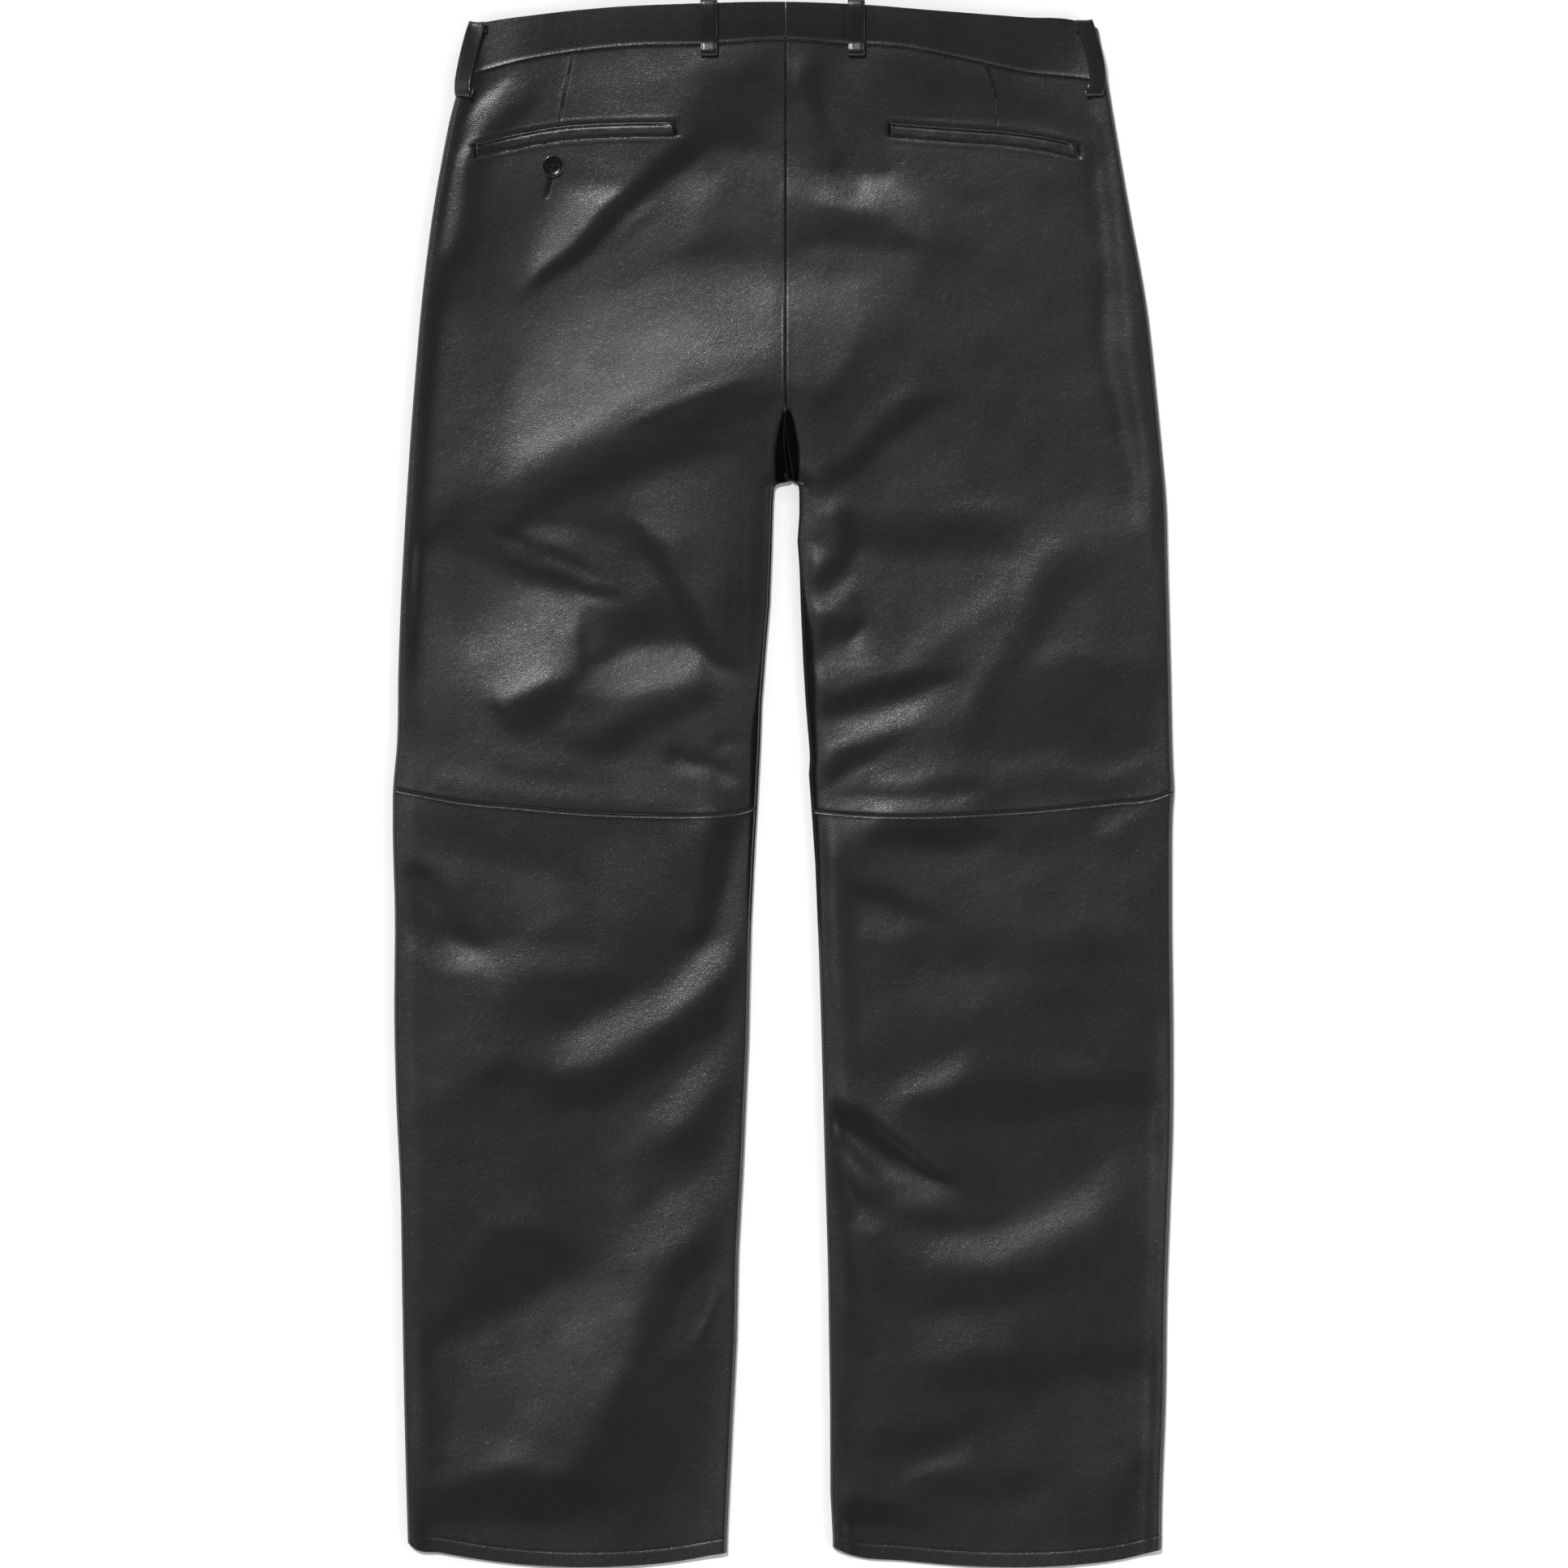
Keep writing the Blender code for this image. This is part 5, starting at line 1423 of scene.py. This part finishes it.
def thread_material(name, finish):
    r = Recipe(name)
    wave = {"Vector": r.place, "Scale": 900.0, "Distortion": 3.0}
    twist = r.add("TexWave", wave, bands_direction="DIAGONAL")
    fuzz = r.noise(3000.0, 2.0)
    colour = r.mix(fuzz, rgba(finish.thread, 0.5), rgba(finish.thread, 0.9))
    normal = r.bump(twist.outputs["Fac"], 0.00008, 0.5)
    spread = r.scaled(fuzz, 0.3, 0.7, 0.55, 0.75)
    return r.finish(Base_Color=colour, Roughness=spread, Normal=normal, Specular_IOR_Level=0.2)


def horn_material(name, finish):
    """Polished dark horn with faint streaks."""
    r = Recipe(name)
    streaks = r.noise(260.0, 4.0, 0.65, r.drawn_out(4.0))
    colour = r.mix(r.scaled(streaks, 0.35, 0.7, 0.0, 1.0), rgba(finish.horn, 0.2), rgba(finish.horn, 0.5))
    scuffs = r.noise(900.0, 3.0)
    return r.finish(
        Base_Color=colour, Roughness=r.scaled(scuffs, 0.3, 0.7, 0.14, 0.24),
        Normal=r.bump(scuffs, 0.00001, 0.4),
        Specular_IOR_Level=0.45,
    )


def tape_material(name, finish):
    """Woven zip tape: a fine herringbone."""
    r = Recipe(name)
    across_it = r.add("TexWave", {"Vector": r.place, "Scale": 330.0, "Distortion": 0.4}, bands_direction="X")
    slant = {"Vector": r.place, "Scale": 420.0, "Distortion": 0.4}
    along_it = r.add("TexWave", slant, bands_direction="DIAGONAL")
    weave = r.times(across_it.outputs["Fac"], along_it.outputs["Fac"])
    colour = r.mix(weave, rgba(finish.tape, 0.7), rgba(finish.tape, 1.8))
    spread = r.scaled(weave, 0.0, 1.0, 0.9, 0.75)
    return r.finish(Base_Color=colour, Roughness=spread, Normal=r.bump(weave, 0.0002, 0.7))


def metal_material(name, colour):
    """Brushed metal with fine scratches along its length."""
    r = Recipe(name)
    lines = r.noise(700.0, 4.0, 0.7, r.drawn_out(14.0))
    shade = r.mix(lines, rgba(colour, 0.85), rgba(colour, 1.1))
    return r.finish(
        Base_Color=shade, Metallic=1.0, Roughness=r.scaled(lines, 0.3, 0.7, 0.24, 0.4),
        Normal=r.bump(lines, 0.00002, 0.4),
    )


def floor_material(name, tone):
    r = Recipe(name)
    cloud = r.noise(6.0, 3.0)
    colour = r.mix(cloud, rgba((tone, tone, tone), 0.99), rgba((tone, tone, tone)))
    return r.finish(Base_Color=colour, Roughness=0.9, Specular_IOR_Level=0.1)


def named(name, make, *values, **more):
    """The material of that name, made the first time it is asked for."""
    return bpy.data.materials.get(name) or make(name, *values, **more)


def leathers(finish):
    outer = named("black leather", leather_material, finish)
    return [outer, named("flesh side", flesh_material, finish)]


def back_leathers(finish):
    """The same leather, and a duller copy, painted shade on the folds facing the gap between the legs."""
    outer, flesh = leathers(finish)
    shaded = named("shaded leather", leather_material, finish, shine=0.9, gloss=0.08)
    return [outer, shaded, flesh]


def trim_leather(finish):
    return named("black trim leather", leather_material, finish, shine=1.1, grain=0.7)


# Settings that a user would change.

def length_setting(name, description, default):
    return FloatProperty(name=name, description=description, default=default, unit="LENGTH", precision=5)


def turn_setting(name, description, degrees):
    return FloatProperty(name=name, description=description, default=radians(degrees), unit="ROTATION")


def share_setting(name, description, default):
    return FloatProperty(
        name=name, description=description, default=default, min=0, max=1, subtype="FACTOR",
    )


def amount_setting(name, description, default, **unit):
    return FloatProperty(name=name, description=description, default=default, **unit)


def colour_setting(name, description, default):
    return FloatVectorProperty(
        name=name, description=description, default=default, subtype="COLOR", min=0, max=1,
    )


class TrouserSizes(bpy.types.PropertyGroup):
    leather: length_setting("Leather", "Thickness of the panels", 1.4 * MM)
    band: length_setting("Waistband", "Thickness of the waistband", 2.6 * MM)
    loop_width: length_setting("Loop width", "Width of a belt loop", 12 * MM)
    loop_leather: length_setting("Loop leather", "Thickness of a belt loop", 1.2 * MM)
    stitch_pitch: length_setting("Stitch pitch", "Distance from stitch to stitch", 2.2 * MM)
    thread: length_setting("Thread", "Thickness of the sewing thread", 0.5 * MM)
    mesh_step: length_setting("Mesh step", "Largest distance between a back panel's points", 2.2 * MM)


class TrouserFinish(bpy.types.PropertyGroup):
    leather: colour_setting("Leather", "Colour of the leather", (0.0088, 0.0081, 0.0082))
    thread: colour_setting("Thread", "Colour of the thread", (0.010, 0.010, 0.010))
    horn: colour_setting("Button", "Colour of the horn button", (0.012, 0.010, 0.009))
    tape: colour_setting("Zip tape", "Colour of the zip tape", (0.012, 0.012, 0.013))
    steel: colour_setting("Steel", "Colour of the waist hook", (0.50, 0.50, 0.51))
    brass: colour_setting("Zip metal", "Colour of the zip's teeth", (0.42, 0.38, 0.30))
    roughness: share_setting("Roughness", "Roughness of the leather's finish", 0.27)
    relief: share_setting("Grain relief", "Strength of the leather's grain", 0.6)
    grain: length_setting("Grain size", "Width of one pebble of the grain", 1.25 * MM)


class StudioSettings(bpy.types.PropertyGroup):
    key_strength: amount_setting("Key light", "Strength of the distant key light", 2.05)
    key_tilt: turn_setting("Key tilt", "How far the key light leans from straight above", 26)
    key_turn: turn_setting("Key turn", "Where it comes from: 0 is the left side, and 90 the waist", 60)
    key_softness: turn_setting("Key softness", "How wide the key light looks from the table", 4)
    fill_power: amount_setting("Fill light", "Power of the fill light", 8.0, unit="POWER")
    overhead: amount_setting("Overhead", "Brightness of the studio's ceiling", 0.10)
    surround: amount_setting("Surround", "Brightness of the studio's white walls", 1.9)
    floor: share_setting("Floor", "Lightness of the floor", 0.97)
    camera_height: length_setting("Camera height", "Height of the camera over the table", 12.0)
    view_width: length_setting("View width", "Width of the table that the camera sees", 1.1013)


Settings = namedtuple("Settings", "sizes finish studio")


class Maker:
    """What the operators share: an undo step, and the scene's settings by short names."""

    bl_options = {"REGISTER", "UNDO"}

    def execute(self, context):
        scene = context.scene
        self.build(Settings(scene.trouser_sizes, scene.trouser_finish, scene.trouser_studio))
        return {"FINISHED"}


class TROUSERS_OT_back_panels(Maker, bpy.types.Operator):
    """Builds the back thighs and back shins with their folds and seams"""

    bl_idname = "trousers.back_panels"
    bl_label = "Back Panels"

    def build(self, settings):
        for leg in LEGS:
            make_back_panels(leg, settings.sizes, back_leathers(settings.finish))


class TROUSERS_OT_front_panels(Maker, bpy.types.Operator):
    """Builds the fronts that lie on the table"""

    bl_idname = "trousers.front_panels"
    bl_label = "Front Panels"

    def build(self, settings):
        for leg in LEGS:
            make_front_panel(leg, settings.sizes, leathers(settings.finish))


class TROUSERS_OT_waistband(Maker, bpy.types.Operator):
    """Builds the back and front halves of the waistband"""

    bl_idname = "trousers.waistband"
    bl_label = "Waistband"

    def build(self, settings):
        for leg in LEGS:
            make_band(leg, settings.sizes, leathers(settings.finish))


class TROUSERS_OT_belt_loops(Maker, bpy.types.Operator):
    """Builds the loops on the back and at the sides"""

    bl_idname = "trousers.belt_loops"
    bl_label = "Belt Loops"

    def build(self, settings):
        for leg in LEGS:
            for where in ("back", "side"):
                make_loop(leg, where, settings.sizes, [trim_leather(settings.finish)])


class TROUSERS_OT_pocket_welts(Maker, bpy.types.Operator):
    """Builds the welts of the two back pockets"""

    bl_idname = "trousers.pocket_welts"
    bl_label = "Pocket Welts"

    def build(self, settings):
        for leg in LEGS:
            make_welt(leg, [trim_leather(settings.finish)])


class TROUSERS_OT_pocket_button(Maker, bpy.types.Operator):
    """Builds the button of the left pocket, with its thread and its buttonhole's stitches"""

    bl_idname = "trousers.pocket_button"
    bl_label = "Pocket Button"

    def build(self, settings):
        thread = named("sewing thread", thread_material, settings.finish)
        make_button(named("dark horn", horn_material, settings.finish), thread)
        sew_buttonhole(thread)


class TROUSERS_OT_stitching(Maker, bpy.types.Operator):
    """Sews the knees, hems, waist, pockets and loops"""

    bl_idname = "trousers.stitching"
    bl_label = "Stitching"

    def build(self, settings):
        for leg in LEGS:
            sew_leg(leg, settings.sizes, named("sewing thread", thread_material, settings.finish))


class TROUSERS_OT_closing(Maker, bpy.types.Operator):
    """Finishes the zip and the waist hook on the inside"""

    bl_idname = "trousers.closing"
    bl_label = "Closing"

    def build(self, settings):
        finish = settings.finish
        steel = named("hook steel", metal_material, finish.steel)
        brass = named("zip metal", metal_material, finish.brass)
        make_closing(steel, brass)
        for node, material in (("fly_zip", named("zip tape", tape_material, finish)), ("waist_hook", steel)):
            for part in bpy.data.objects[node].material_slots:
                part.material = material


# The studio, in metres.
FLOOR_HALF = 6.0
FILL_AT = (1.7, -0.3, 1.2)
VIEW_CENTRE = (0.0003, 0.0003)


def lamp(name, kind, place, strength):
    """A light that shines on the middle of the table from its place."""
    data = bpy.data.lights.new(name, kind)
    data.energy = strength
    light = linked(name, data)
    light.location = place
    light.rotation_euler = (-Vector(place)).to_track_quat("-Z", "Y").to_euler()
    return data


def white_walls(studio):
    """A world that is bright all round and dim overhead, as in a white tent with an open top."""
    world = bpy.data.worlds.new("studio")
    world.use_nodes = True
    nodes, links = world.node_tree.nodes, world.node_tree.links
    direction = nodes.new("ShaderNodeTexCoord").outputs["Generated"]
    parts = nodes.new("ShaderNodeSeparateXYZ")
    height = nodes.new("ShaderNodeMapRange")
    height.interpolation_type = "SMOOTHSTEP"
    ends = (("From Min", 0.2), ("From Max", 0.75), ("To Min", studio.surround), ("To Max", studio.overhead))
    for name, value in ends:
        height.inputs[name].default_value = value
    links.new(direction, parts.inputs[0])
    links.new(parts.outputs["Z"], height.inputs["Value"])
    links.new(height.outputs["Result"], nodes["Background"].inputs["Strength"])
    nodes["Background"].inputs["Color"].default_value = (1, 1, 1, 1)
    return world


class TROUSERS_OT_studio(Maker, bpy.types.Operator):
    """Sets the floor, the lights and the camera over the table"""

    bl_idname = "trousers.studio"
    bl_label = "Studio"

    def build(self, settings):
        studio = settings.studio
        bm = bmesh.new()
        bmesh.ops.create_grid(bm, x_segments=8, y_segments=8, size=FLOOR_HALF)
        mesh = bpy.data.meshes.new("floor")
        bm.to_mesh(mesh)
        bm.free()
        mesh.materials.append(floor_material("pale floor", studio.floor))
        linked("floor", mesh)
        lean, turn = studio.key_tilt, studio.key_turn
        away = (-sin(lean) * cos(turn), sin(lean) * sin(turn), cos(lean))
        lamp("key light", "SUN", [4 * part for part in away], studio.key_strength).angle = studio.key_softness
        lamp("fill light", "AREA", FILL_AT, studio.fill_power).size = 1.0
        scene = bpy.context.scene
        scene.world = white_walls(studio)
        scene.view_settings.view_transform = "Standard"
        data = bpy.data.cameras.new("camera")
        data.lens = data.sensor_width * studio.camera_height / studio.view_width
        scene.camera = linked("camera", data)
        scene.camera.location = (*VIEW_CENTRE, studio.camera_height)


class TROUSERS_PT_panel(bpy.types.Panel):
    """Lists the trousers' pieces and settings"""

    bl_label = "Leather Trousers"
    bl_idname = "TROUSERS_PT_panel"
    bl_space_type = "VIEW_3D"
    bl_region_type = "UI"
    bl_category = "Trousers"

    def draw(self, context):
        for operator in OPERATORS:
            self.layout.operator(operator.bl_idname)
        for group in SETTINGS:
            box = self.layout.box()
            for name in SETTINGS[group].__annotations__:
                box.prop(getattr(context.scene, group), name)


OPERATORS = (
    TROUSERS_OT_back_panels, TROUSERS_OT_front_panels, TROUSERS_OT_waistband, TROUSERS_OT_belt_loops,
    TROUSERS_OT_pocket_welts, TROUSERS_OT_pocket_button, TROUSERS_OT_stitching, TROUSERS_OT_closing,
    TROUSERS_OT_studio,
)
SETTINGS = {"trouser_sizes": TrouserSizes, "trouser_finish": TrouserFinish, "trouser_studio": StudioSettings}


def register():
    for kind in (*SETTINGS.values(), *OPERATORS, TROUSERS_PT_panel):
        bpy.utils.register_class(kind)
    for name, kind in SETTINGS.items():
        setattr(bpy.types.Scene, name, PointerProperty(type=kind))


def unregister():
    for name in SETTINGS:
        delattr(bpy.types.Scene, name)
    for kind in (TROUSERS_PT_panel, *reversed(OPERATORS), *reversed(SETTINGS.values())):
        bpy.utils.unregister_class(kind)


def declare_cloth(name):
    """Lists the pieces that go with one side's back thigh, and does nothing with the list."""
    with_thigh = [f"welt_{name}", f"pocket_stitches_{name}", f"waist_stitches_{name}"]
    if name == "left":
        with_thigh += ["button_turned", "button_thread", "buttonhole_stitches"]


def main():
    register()
    for operator in OPERATORS:
        group, name = operator.bl_idname.split(".")
        getattr(getattr(bpy.ops, group), name)()
    for leg in LEGS:
        declare_cloth(leg.name)


if __name__ == "__main__":
    main()
